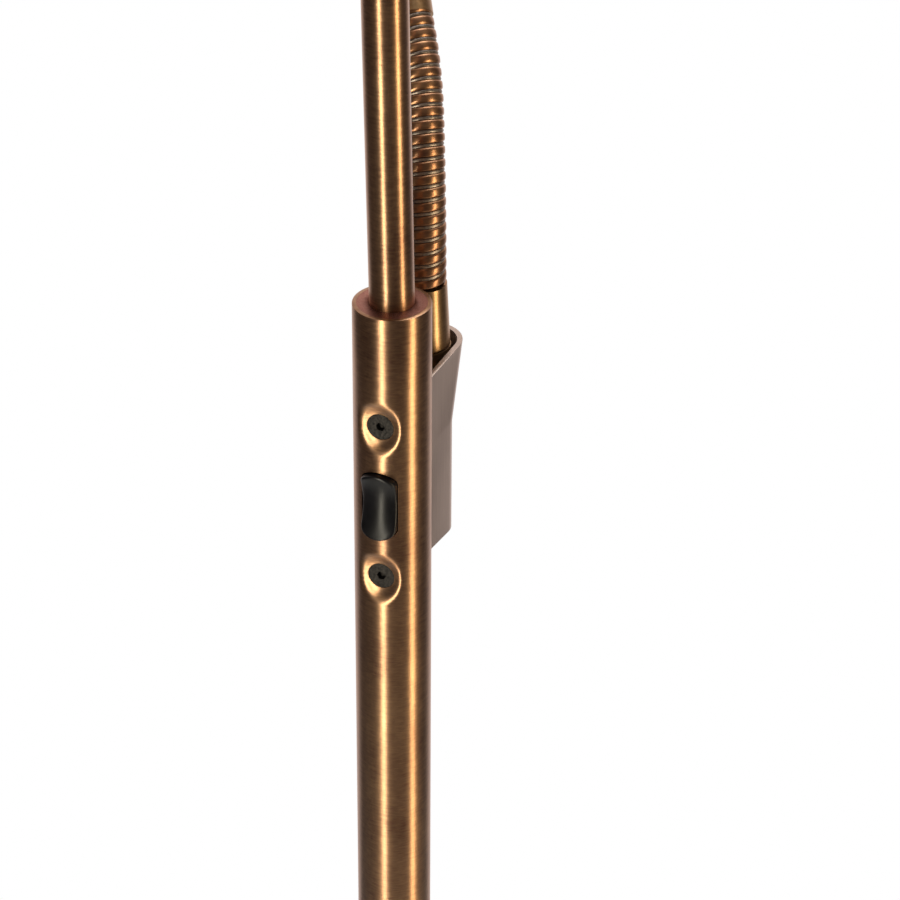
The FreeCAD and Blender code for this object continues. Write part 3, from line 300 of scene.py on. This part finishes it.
def finished(mesh, name, finish, body, replaced):
    """Makes a mesh's object, with its finish, slot, body and the nodes that it stands for."""
    mesh.shade_smooth()
    mesh.set_sharp_from_angle(angle=SMOOTH_ANGLE)
    mesh.materials.clear()
    mesh.materials.append(FINISHES[finish])
    piece = bpy.data.objects.new(name, mesh)
    bpy.context.scene.collection.objects.link(piece)
    if replaced:
        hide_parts(*replaced)
    if body:
        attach(piece, body)
    return piece


def smoothed(node, finish, bevelled):
    """Stands a merged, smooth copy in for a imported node."""
    bm = bmesh.new()
    bm.from_mesh(nodes[node].data)
    bmesh.ops.remove_doubles(bm, verts=bm.verts, dist=WELD)
    mesh = bpy.data.meshes.new(node + "_finished")
    bm.to_mesh(mesh)
    bm.free()
    piece = finished(mesh, node + "_finished", finish, bodies[node], [node])
    if bevelled:
        bevel = piece.modifiers.new("edge", "BEVEL")
        bevel.width = EDGE_MM * MM
        bevel.segments = EDGE_SEGMENTS
        bevel.limit_method = "ANGLE"
        bevel.angle_limit = BEVEL_ANGLE


SMOOTHED = {
    "antique_bronze": ["base_cover", "foot_collar", "dish_hub", "dish_shell", "diffuser_ring"],
    "linished_sheet": ["reading_bracket"],
    "bronze_turned": ["swivel_post", "lower_ferrule"],
    "arm_bronze": ["arm_tube", "reading_shade"],
    "arm_brass": ["upper_ferrule", "arm_eye", "head_yoke", "lens_ring"],
    "black_steel": ["carrier_screws"],
    "opal": ["uplight_diffuser", "reading_lens"],
    "felt": ["floor_pad"],
}
BEVELLED = ["foot_collar", "reading_bracket", "dish_hub", "diffuser_ring", "lens_ring", "carrier_screws"]
for finish, members in SMOOTHED.items():
    for node in members:
        smoothed(node, finish, node in BEVELLED)
print("smoothed", sum(len(members) for members in SMOOTHED.values()), "nodes")

# %% [markdown]
# Both tubes are drawn round, and the gooseneck's sleeve is round too. A cylinder with a bevel would do for
# a plain one. A profile spun round its axis gives the wall, the bore and the rounded rim in one step, and
# leaves no seam, so one function makes all three.


# %% Lathe
def spun(bm, outline, steps, matrix=Matrix.Identity(4)):
    """Spins a closed outline of (radius, height) in millimetres round Z, then places the result."""
    corners = [bm.verts.new(Vector((radius, 0, height)) * MM) for radius, height in outline]
    edges = [bm.edges.new(pair) for pair in zip(corners, corners[1:] + corners[:1])]
    bmesh.ops.spin(bm, geom=corners + edges, cent=(0, 0, 0), axis=(0, 0, 1), angle=2 * math.pi, steps=steps,
                   use_merge=True)
    bmesh.ops.transform(bm, matrix=matrix, verts=bm.verts)


def closed(bm, name):
    """Merges a bmesh, points its faces outward and turns it into a mesh."""
    bmesh.ops.remove_doubles(bm, verts=bm.verts, dist=FINE_WELD)
    bmesh.ops.recalc_face_normals(bm, faces=bm.faces)
    mesh = bpy.data.meshes.new(name)
    bm.to_mesh(mesh)
    bm.free()
    print(name, len(mesh.polygons), "faces")
    return mesh


# %% [markdown]
# The wide tube is spun with few rows. The dimples were pressed into the real tube round each screw, and
# cutting them with a Boolean would leave a sharp rim. So they are pressed here too: the upright edges
# beside the switch are divided into close rows, and each point near a screw moves in, to a depth that falls
# smoothly to a flat floor.

# %% Lower column
COLUMN_RADIUS, COLUMN_WALL, COLUMN_FOOT = 14.0, 1.5, 34.0
SWITCH_Z = COLUMN_TOP - 75.5
SCREW_OFFSET = 31.2
SCREW_HEIGHTS = [SWITCH_Z + SCREW_OFFSET, SWITCH_Z - SCREW_OFFSET]
# The floor's distance from the column's axis, then the flat's and the dimple's radius round the screw.
DIMPLE_FLOOR, DIMPLE_FLAT, DIMPLE_RADIUS = 11.3, 4.9, 11.2
BAND_LOW, BAND_HIGH = COLUMN_TOP - 122, COLUMN_TOP - 28
ROW_MM, RIM_MM, RIM_MIDDLE, AROUND = 0.55, 0.35, 0.1, 160


def column_outline():
    """The tube's profile: up the outside, over a rounded rim and down the bore."""
    rows = [COLUMN_FOOT, BAND_LOW, BAND_HIGH]
    bore = COLUMN_RADIUS - COLUMN_WALL
    rim = [(COLUMN_RADIUS, COLUMN_TOP - RIM_MM), (COLUMN_RADIUS - RIM_MIDDLE, COLUMN_TOP - RIM_MIDDLE),
           (COLUMN_RADIUS - RIM_MM, COLUMN_TOP), (bore, COLUMN_TOP)]
    return [(COLUMN_RADIUS, z) for z in rows] + rim + [(bore, z) for z in reversed(rows)]


def divide_band(bm):
    """Divides the upright edges beside the switch into rows."""
    def in_band(edge):
        low, high = sorted(vert.co.z / MM for vert in edge.verts)
        return low > BAND_LOW - 1 and high < BAND_HIGH + 1 and high - low > 1

    upright = [edge for edge in bm.edges if in_band(edge)]
    cuts = int((BAND_HIGH - BAND_LOW) / ROW_MM)
    bmesh.ops.subdivide_edges(bm, edges=upright, cuts=cuts, use_grid_fill=True)


def press_dimples(bm):
    """Moves the points near each screw in, along Y, to the dimple's floor and its S-shaped wall."""
    for vert in bm.verts:
        x, y, z = vert.co / MM
        depth = COLUMN_WALL if math.hypot(x, y) < COLUMN_RADIUS - COLUMN_WALL / 2 else 0.0
        for height in SCREW_HEIGHTS:
            rho = math.hypot(x, z - height)
            if y > 0 or rho > DIMPLE_RADIUS:
                continue
            t = min(max((rho - DIMPLE_FLAT) / (DIMPLE_RADIUS - DIMPLE_FLAT), 0.0), 1.0)
            floor = -(DIMPLE_FLOOR - depth)
            vert.co.y = max(y, floor + (y - floor) * t * t * (3 - 2 * t)) * MM


bm = bmesh.new()
spun(bm, column_outline(), AROUND)
divide_band(bm)
press_dimples(bm)
column_mesh = closed(bm, "lower_column_spun")

# %% [markdown]
# The rocker and its window share one outline: straight sides, round ends and soft corners. It could be
# drawn by hand point by point. Two arcs that meet in line give it instead, so that the window can be the
# same shape a little larger. Points on the straight sides keep the faces that grow from them even.

# %% Rocker outline
ROCKER_HALF_WIDTH, ROCKER_HALF_HEIGHT, ROCKER_END_RADIUS, CORNER_RADIUS = 6.7, 13.35, 9.0, 3.4
SIDE_STEPS = 12


def rocker_outline(extra_side, extra_end, steps):
    """The rocker seen from the front, straight at its sides and round at its ends, as (x, z) points."""
    half_width, half_height = ROCKER_HALF_WIDTH + extra_side, ROCKER_HALF_HEIGHT + extra_end
    radius = ROCKER_END_RADIUS + extra_end
    inner_x, inner_reach = half_width - CORNER_RADIUS, radius - CORNER_RADIUS
    meet = math.asin(inner_x / inner_reach)
    end_z = half_height - radius
    corner_z = end_z + inner_reach * math.cos(meet)
    end_angles = [meet * k / steps for k in range(steps)]
    corner_angles = [meet + (math.pi / 2 - meet) * k / steps for k in range(steps + 1)]
    quarter = [(radius * math.sin(a), end_z + radius * math.cos(a)) for a in end_angles]
    quarter += [(inner_x + CORNER_RADIUS * math.sin(a), corner_z + CORNER_RADIUS * math.cos(a))
                for a in corner_angles]
    upper = [(-x, z) for x, z in reversed(quarter[1:])] + quarter
    side = [(half_width, corner_z * (1 - 2 * k / SIDE_STEPS)) for k in range(1, SIDE_STEPS)]
    half = upper + side
    return half + [(-x, -z) for x, z in half]


# %% [markdown]
# In the real tube a punch cuts the window and the two screw holes. Deleting faces would leave ragged edges
# and an open wall. A Boolean with the punch's shape leaves clean edges and a closed wall, and its result is
# made a mesh of its own, so nothing is left to work out later.

# %% Openings
WINDOW_FRONT, WINDOW_BACK, WINDOW_SIDE_GAP, WINDOW_END_GAP, WINDOW_STEPS = -20.0, -7.0, 0.25, 0.4, 8
HOLE_RADIUS, HOLE_MIDDLE, HOLE_LENGTH, HOLE_STEPS = 5.13, -10.5, 6, 64
bm = bmesh.new()
window = rocker_outline(WINDOW_SIDE_GAP, WINDOW_END_GAP, WINDOW_STEPS)
corners = [bm.verts.new(Vector((x, WINDOW_FRONT, SWITCH_Z + z)) * MM) for x, z in window]
prism = bmesh.ops.extrude_face_region(bm, geom=[bm.faces.new(corners)])["geom"]
far_corners = [item for item in prism if isinstance(item, bmesh.types.BMVert)]
bmesh.ops.translate(bm, vec=(0, (WINDOW_BACK - WINDOW_FRONT) * MM, 0), verts=far_corners)
for height in SCREW_HEIGHTS:
    middle = Matrix.Translation(Vector((0, HOLE_MIDDLE, height)) * MM)
    bmesh.ops.create_cone(bm, cap_ends=True, segments=HOLE_STEPS, radius1=HOLE_RADIUS * MM,
                          radius2=HOLE_RADIUS * MM, depth=HOLE_LENGTH * MM,
                          matrix=middle @ Matrix.Rotation(math.pi / 2, 4, "X"))
punch = bpy.data.objects.new("punch", closed(bm, "punch"))
bpy.context.scene.collection.objects.link(punch)
blank = bpy.data.objects.new("blank", column_mesh)
bpy.context.scene.collection.objects.link(blank)
cut = blank.modifiers.new("openings", "BOOLEAN")
cut.object = punch
cut.operation = "DIFFERENCE"
cut.solver = "EXACT"
column_cut = bpy.data.meshes.new_from_object(blank.evaluated_get(bpy.context.evaluated_depsgraph_get()))
bpy.data.objects.remove(blank)
bpy.data.objects.remove(punch)
finished(column_cut, "lower_column_spun", "antique_bronze", "stand", ["lower_column"])
print("column after cutting", len(column_cut.polygons), "faces")

# %% [markdown]
# The thinner tube leans by one degree, as it does in the picture, and sits in a turned plug that closes the
# column. It could be a plain cylinder, but its spun profile has the open bore and the rounded rim too. The
# plug's shape is right as packed, so only its face changes: it is turned, and looks duller and pinker.

# %% Upper tube and plug
UPPER_RADIUS, UPPER_BORE, UPPER_RIM, UPPER_AROUND = 8.0, 7.0, 0.3, 112
UPPER_FOOT, UPPER_HEAD = -25.0, 690.0    # along its own axis, from the column's top
LEAN, LEAN_TO = math.radians(1.0), math.radians(248.0)
lean = Vector((math.sin(LEAN) * math.sin(LEAN_TO), math.sin(LEAN) * math.cos(LEAN_TO), math.cos(LEAN)))
tilt = Vector((0, 0, 1)).rotation_difference(lean).to_matrix().to_4x4()
leaning = Matrix.Translation((0, 0, COLUMN_TOP * MM)) @ tilt
upper_outline = [(UPPER_RADIUS, UPPER_FOOT), (UPPER_RADIUS, UPPER_HEAD - UPPER_RIM),
                 (UPPER_RADIUS - UPPER_RIM, UPPER_HEAD), (UPPER_BORE, UPPER_HEAD), (UPPER_BORE, UPPER_FOOT)]
bm = bmesh.new()
spun(bm, upper_outline, UPPER_AROUND, leaning)
upper_mesh = closed(bm, "upper_tube_drawn")
finished(upper_mesh, "upper_tube_drawn", "antique_bronze", "stand", ["upper_tube"])
smoothed("column_plug", "turned_face", False)

# %% [markdown]
# The gooseneck is a brass strip wound round a bent axis, with a wire in the groove between its turns. A
# helix could be bent by a curve modifier, but that is worked out only later and is hard to end cleanly.
# Here a straight coil is made first, and every point is then carried onto the bent axis, two arcs that
# leave the ferrule upright and lean away. So each turn stays at right angles to the axis. The coil is a
# little too long, and what lies beyond each end is pressed back just inside it, where the real last turn is
# thinned to nothing.

# %% Bent axis
FOOT = Vector((0, 30.7, COLUMN_TOP - 31.3 + 24.0))
ARCS = [(61.0, 34.3, -24.8), (35.0, 44.9, -37.4)]    # length, then the tilt and azimuth at its end
GOOSE_LENGTH = sum(length for length, _, _ in ARCS)
GOOSE_RADIUS = 7.85
END_PRESS, PRESS_FADE = 0.3, 0.6


def direction(tilt_degrees, azimuth_degrees):
    """A unit direction from its tilt off upright and its azimuth from +Y, clockwise."""
    t, a = math.radians(tilt_degrees), math.radians(azimuth_degrees)
    return Vector((math.sin(t) * math.sin(a), math.sin(t) * math.cos(a), math.cos(t)))


def along_axis(distance):
    """The axis point at a distance from the foot, and the turn from upright there."""
    point, here, rotation = FOOT.copy(), Vector((0, 0, 1)), Quaternion()
    for length, tilt_degrees, azimuth_degrees in ARCS:
        following = direction(tilt_degrees, azimuth_degrees)
        angle, hinge = here.angle(following), here.cross(following).normalized()
        part = Quaternion(hinge, angle * max(0.0, min(1.0, distance / length)))
        centre = point + hinge.cross(here) * (length / angle)
        point = centre + part @ (point - centre)
        rotation = part @ rotation
        here, distance = following, distance - length
        if distance <= 0:
            break
    return point, rotation


def pressed(height):
    """A height beyond an end of the axis, brought back to just inside it, as the last turn is thinned."""
    beyond = END_PRESS - min(height, GOOSE_LENGTH - height)
    if beyond <= 0:
        return height
    kept = END_PRESS * math.exp(-beyond / PRESS_FADE)
    return kept if height < GOOSE_LENGTH / 2 else GOOSE_LENGTH - kept


def bend(bm):
    """Carries a straight coil or sleeve, standing on Z from 0, onto the bent axis."""
    for vert in bm.verts:
        point, rotation = along_axis(pressed(vert.co.z / MM))
        vert.co = point * MM + rotation @ Vector((vert.co.x, vert.co.y, 0))


foot_point, head_point = along_axis(0)[0] * MM, along_axis(GOOSE_LENGTH)[0] * MM
print("gooseneck from", [round(c, 4) for c in foot_point], "to", [round(c, 4) for c in head_point])

# %% [markdown]
# A real strip is fed onto a turning mandrel while it climbs, and the spin operator does just that. It could
# spin all 22 turns in one go, but that takes several times as long. So one turn is spun, copied up the coil
# and merged.

# %% Coil
STEPS_PER_TURN, TURNS = 64, 22
BAND_WIDTH, BAND_THICKNESS = 3.1, 1.5
END_OVERRUN = BAND_WIDTH / 2 - 0.1
TURN_MM = (GOOSE_LENGTH + 2 * END_OVERRUN) / TURNS


def coil(bm, section, start, turns):
    """Spins one climbing turn of a closed (radius, height) section, repeats it and closes both ends."""
    corners = [bm.verts.new(Vector((radius, 0, start + height)) * MM) for radius, height in section]
    loop = [bm.edges.new(pair) for pair in zip(corners, corners[1:] + corners[:1])]
    climb = Vector((0, 0, TURN_MM / STEPS_PER_TURN)) * MM
    bmesh.ops.spin(bm, geom=corners + loop, cent=(0, 0, 0), axis=(0, 0, 1), dvec=climb, angle=2 * math.pi,
                   steps=STEPS_PER_TURN)
    one_turn = bm.verts[:] + bm.edges[:] + bm.faces[:]
    for k in range(1, turns):
        copied = bmesh.ops.duplicate(bm, geom=one_turn)["geom"]
        points = [item for item in copied if isinstance(item, bmesh.types.BMVert)]
        bmesh.ops.translate(bm, vec=(0, 0, k * TURN_MM * MM), verts=points)
    bmesh.ops.remove_doubles(bm, verts=bm.verts, dist=WELD)
    bmesh.ops.holes_fill(bm, edges=[edge for edge in bm.edges if edge.is_boundary], sides=0)
    bend(bm)


print("turns", TURNS, "pitch", round(TURN_MM, 3), "mm")

# %% [markdown]
# The strip's outer face is crowned, with edges that roll over, so each turn catches its own highlight. The
# wire lies in the groove between two turns, a little below their tops, and shows as a thin grey line. It
# has one turn less, because it starts half a turn up and ends half a turn early.

# %% Winding and wire
CROWN_DROP, EDGE_DROP, CROWN_STEPS = 0.1, 0.5, 10
WIRE_RADIUS, WIRE_DEPTH, WIRE_STEPS = 0.72, 1.05, 10    # the depth is its centre's, below the strip's top
across = [2 * k / CROWN_STEPS - 1 for k in range(CROWN_STEPS + 1)]
crown = [(GOOSE_RADIUS - CROWN_DROP * t * t - EDGE_DROP * t ** 6, t * BAND_WIDTH / 2) for t in across]
inner_radius = GOOSE_RADIUS - BAND_THICKNESS
band = crown + [(inner_radius, BAND_WIDTH / 2), (inner_radius, -BAND_WIDTH / 2)]
wire_angles = [2 * math.pi * k / WIRE_STEPS for k in range(WIRE_STEPS)]
wire_centre = GOOSE_RADIUS - WIRE_DEPTH
wire = [(wire_centre + WIRE_RADIUS * math.cos(a), WIRE_RADIUS * math.sin(a)) for a in wire_angles]
for name, section, start, turns, finish, slot, replaced in (
    ("gooseneck_strip", band, -END_OVERRUN, TURNS, "winding", "bronze_turned", ["gooseneck_band"]),
    ("gooseneck_wire", wire, TURN_MM / 2 - END_OVERRUN, TURNS - 1, "groove_wire", "plated_steel", []),
):
    bm = bmesh.new()
    coil(bm, section, start, turns)
    piece = finished(closed(bm, name), name, finish, None, replaced)
    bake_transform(piece)

# %% [markdown]
# Inside the winding is a dark sleeve, seen only as the black between the turns. A black core along a curve
# would do. It is made the same way as the coil instead, a tube with enough rows to bend, carried onto the
# same axis, so that the two can't part anywhere.

# %% Sleeve
SLEEVE_RADIUS, SLEEVE_BORE, SLEEVE_ROWS, SLEEVE_AROUND = 5.7, 3.2, 40, 32
bm = bmesh.new()
heights = [GOOSE_LENGTH * k / SLEEVE_ROWS for k in range(SLEEVE_ROWS + 1)]
sleeve_outline = [(SLEEVE_RADIUS, z) for z in heights] + [(SLEEVE_BORE, z) for z in reversed(heights)]
spun(bm, sleeve_outline, SLEEVE_AROUND)
bend(bm)
sleeve = finished(closed(bm, "gooseneck_sleeve"), "gooseneck_sleeve", "rubber", None,
                  ["gooseneck_core", "reading_lead"])
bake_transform(sleeve)

# %% [markdown]
# The rocker is a saddle for a fingertip, hollow along its length and crowned across. A subdivided box would
# lose the sharp line of its outline. So the outline is extruded ring by ring towards its middle, and each
# ring drops onto the saddle. The first rings turn the rounded edge.

# %% Rocker
ROCKER_FOOT, SADDLE_MIDDLE, SADDLE_RISE, CROWN_RADIUS, END_CROWN = 9.7, 14.6, 2.1, 10.6, 0.1
OUTLINE_STEPS, FACE_RINGS, INNER_RINGS = 10, 14, 12
EDGE_RINGS = [(1.0, 1.0), (0.996, 0.6), (0.982, 0.28), (0.958, 0.08), (0.925, 0.0)]    # scale and drop
rings = EDGE_RINGS + [(k / FACE_RINGS, 0.0) for k in range(INNER_RINGS, 0, -1)]
bm = bmesh.new()
outline = rocker_outline(0, 0, OUTLINE_STEPS)
corners = [bm.verts.new(Vector((x, -ROCKER_FOOT, z)) * MM) for x, z in outline]
edges = [bm.edges.new(pair) for pair in zip(corners, corners[1:] + corners[:1])]
bmesh.ops.edgeloop_fill(bm, edges=edges)
previous = 1.0
for scale, drop in rings:
    ring = bmesh.ops.extrude_edge_only(bm, edges=edges)["geom"]
    edges = [item for item in ring if isinstance(item, bmesh.types.BMEdge)]
    ring_corners = [item for item in ring if isinstance(item, bmesh.types.BMVert)]
    bmesh.ops.scale(bm, vec=(scale / previous, 1, scale / previous), verts=ring_corners)
    previous = scale
    for vert in ring_corners:
        x, z = vert.co.x / MM, vert.co.z / MM
        end = (z / ROCKER_HALF_HEIGHT) ** 2
        crowned = (CROWN_RADIUS - math.sqrt(CROWN_RADIUS ** 2 - x * x)) * (1 - (1 - END_CROWN) * end)
        vert.co.y = -(SADDLE_MIDDLE + SADDLE_RISE * end - crowned - drop) * MM
bmesh.ops.edgeloop_fill(bm, edges=edges)
bmesh.ops.translate(bm, vec=(0, 0, SWITCH_Z * MM), verts=bm.verts)
rocker_mesh = closed(bm, "rocker_moulded")
finished(rocker_mesh, "rocker_moulded", "black_rocker", "rocker", ["rocker"])

# %% [markdown]
# One large soft lamp would light the tubes evenly and flat. Two tall narrow ones give them their two bright
# lines, a warm one on each side. They reach below the switch, because seen from above a tube mirrors what
# stands low. A broad lamp overhead lights the flat faces. Their places and sizes are in metres.


# %% Lamps
def lamp(name, azimuth, distance, height, size, power, colour, aim):
    """An area lamp at an azimuth counted from the camera, positive to its right, aimed at a height."""
    data = bpy.data.lights.new(name, "AREA")
    data.shape = "RECTANGLE"
    data.size, data.size_y = size
    data.energy = power
    data.color = linear(colour)[:3]
    lamp_object = bpy.data.objects.new(name, data)
    bpy.context.scene.collection.objects.link(lamp_object)
    a = math.radians(azimuth)
    lamp_object.location = turn @ Vector((math.sin(a), -math.cos(a), 0)) * distance + Vector((0, 0, height))
    aim_at = Vector((0, 0, aim)) - lamp_object.location
    lamp_object.rotation_euler = aim_at.to_track_quat("-Z", "Y").to_euler()
    lamp_object.visible_camera = False


lamp("left_strip", azimuth=-29, distance=1.5, height=0.55, size=(0.25, 2.2), power=22, colour="#fff6e0",
     aim=0.55)
lamp("right_strip", azimuth=59, distance=1.5, height=0.55, size=(0.26, 2.2), power=18, colour="#ffe8c0",
     aim=0.55)
lamp("overhead", azimuth=150, distance=1.0, height=2.9, size=(1.4, 1.4), power=22, colour="#ffffff", aim=0.7)
print("lamps", len(bpy.data.lights))

# %% [markdown]
# The lamp stands on a pale painted floor that keeps its shadow. An endless plane would lie behind the
# switch in this view and turn its white background grey, so the floor is a disc whose edge the camera looks
# past.

# %% Floor
FLOOR_RADIUS, FLOOR_DROP, FLOOR_STEPS = 0.9, 0.0005, 96
bm = bmesh.new()
bmesh.ops.create_circle(bm, cap_ends=True, segments=FLOOR_STEPS, radius=FLOOR_RADIUS)
bmesh.ops.translate(bm, vec=(0, 0, -FLOOR_DROP), verts=bm.verts)
floor = bpy.data.objects.new("floor", closed(bm, "floor"))
floor.data.materials.append(grained("painted_floor", "#dcdcdc", "#e2e2e2", 0.9, 0.0, 0.4, 0.01))
bpy.context.scene.collection.objects.link(floor)

# %% [markdown]
# The room is white behind the lamp and dim in front, where the camera stands. The camera sees plain white
# all round. One white world would be simpler, but the tubes would mirror it everywhere. Here a mirror-like
# ray sees the white wall only where it is, behind, which gives each tube its thin pale edges and leaves
# dark brown between the highlights.

# %% Room
WALL_STARTS, WALL_FULL = 0.5, 0.85    # cosines of the angle from straight behind the lamp
FRONT_LIGHT, ROOM_LIGHT = 0.09, 0.4
world = bpy.data.worlds.new("room")
bpy.context.scene.world = world
world.use_nodes = True
sky = world.node_tree
heading_inputs = {0: add(sky, "TexCoord").outputs["Generated"], 1: (1, 1, 0)}
flat = add(sky, "VectorMath", {"operation": "MULTIPLY"}, heading_inputs)
heading = add(sky, "VectorMath", {"operation": "NORMALIZE"}, {0: flat.outputs[0]})
away = turn @ Vector((0, 1, 0))
behind = add(sky, "VectorMath", {"operation": "DOT_PRODUCT"}, {0: heading.outputs[0], 1: away})
wall = add(sky, "MapRange", None, {"Value": behind.outputs["Value"], "From Min": WALL_STARTS,
                                   "From Max": WALL_FULL, "To Min": FRONT_LIGHT, "To Max": 1.0})
path = add(sky, "LightPath").outputs
mirrored = add(sky, "Background", None, {"Color": linear("#ffeee8"), "Strength": wall.outputs[0]})
plain_room = add(sky, "Background", None, {"Color": linear("#ffffff"), "Strength": ROOM_LIGHT})
white = add(sky, "Background", None, {"Color": (1, 1, 1, 1), "Strength": 1.0})
glossy = {0: path["Is Glossy Ray"], 1: plain_room.outputs[0], 2: mirrored.outputs[0]}
shiny = add(sky, "MixShader", None, glossy)
seen_rays = {0: path["Is Camera Ray"], 1: path["Is Transmission Ray"]}
clear = add(sky, "Math", {"operation": "MAXIMUM"}, seen_rays)
seen = add(sky, "MixShader", None, {0: clear.outputs[0], 1: shiny.outputs[0], 2: white.outputs[0]})
sky.links.new(seen.outputs[0], sky.nodes["World Output"].inputs["Surface"])
print("room nodes", len(sky.nodes))
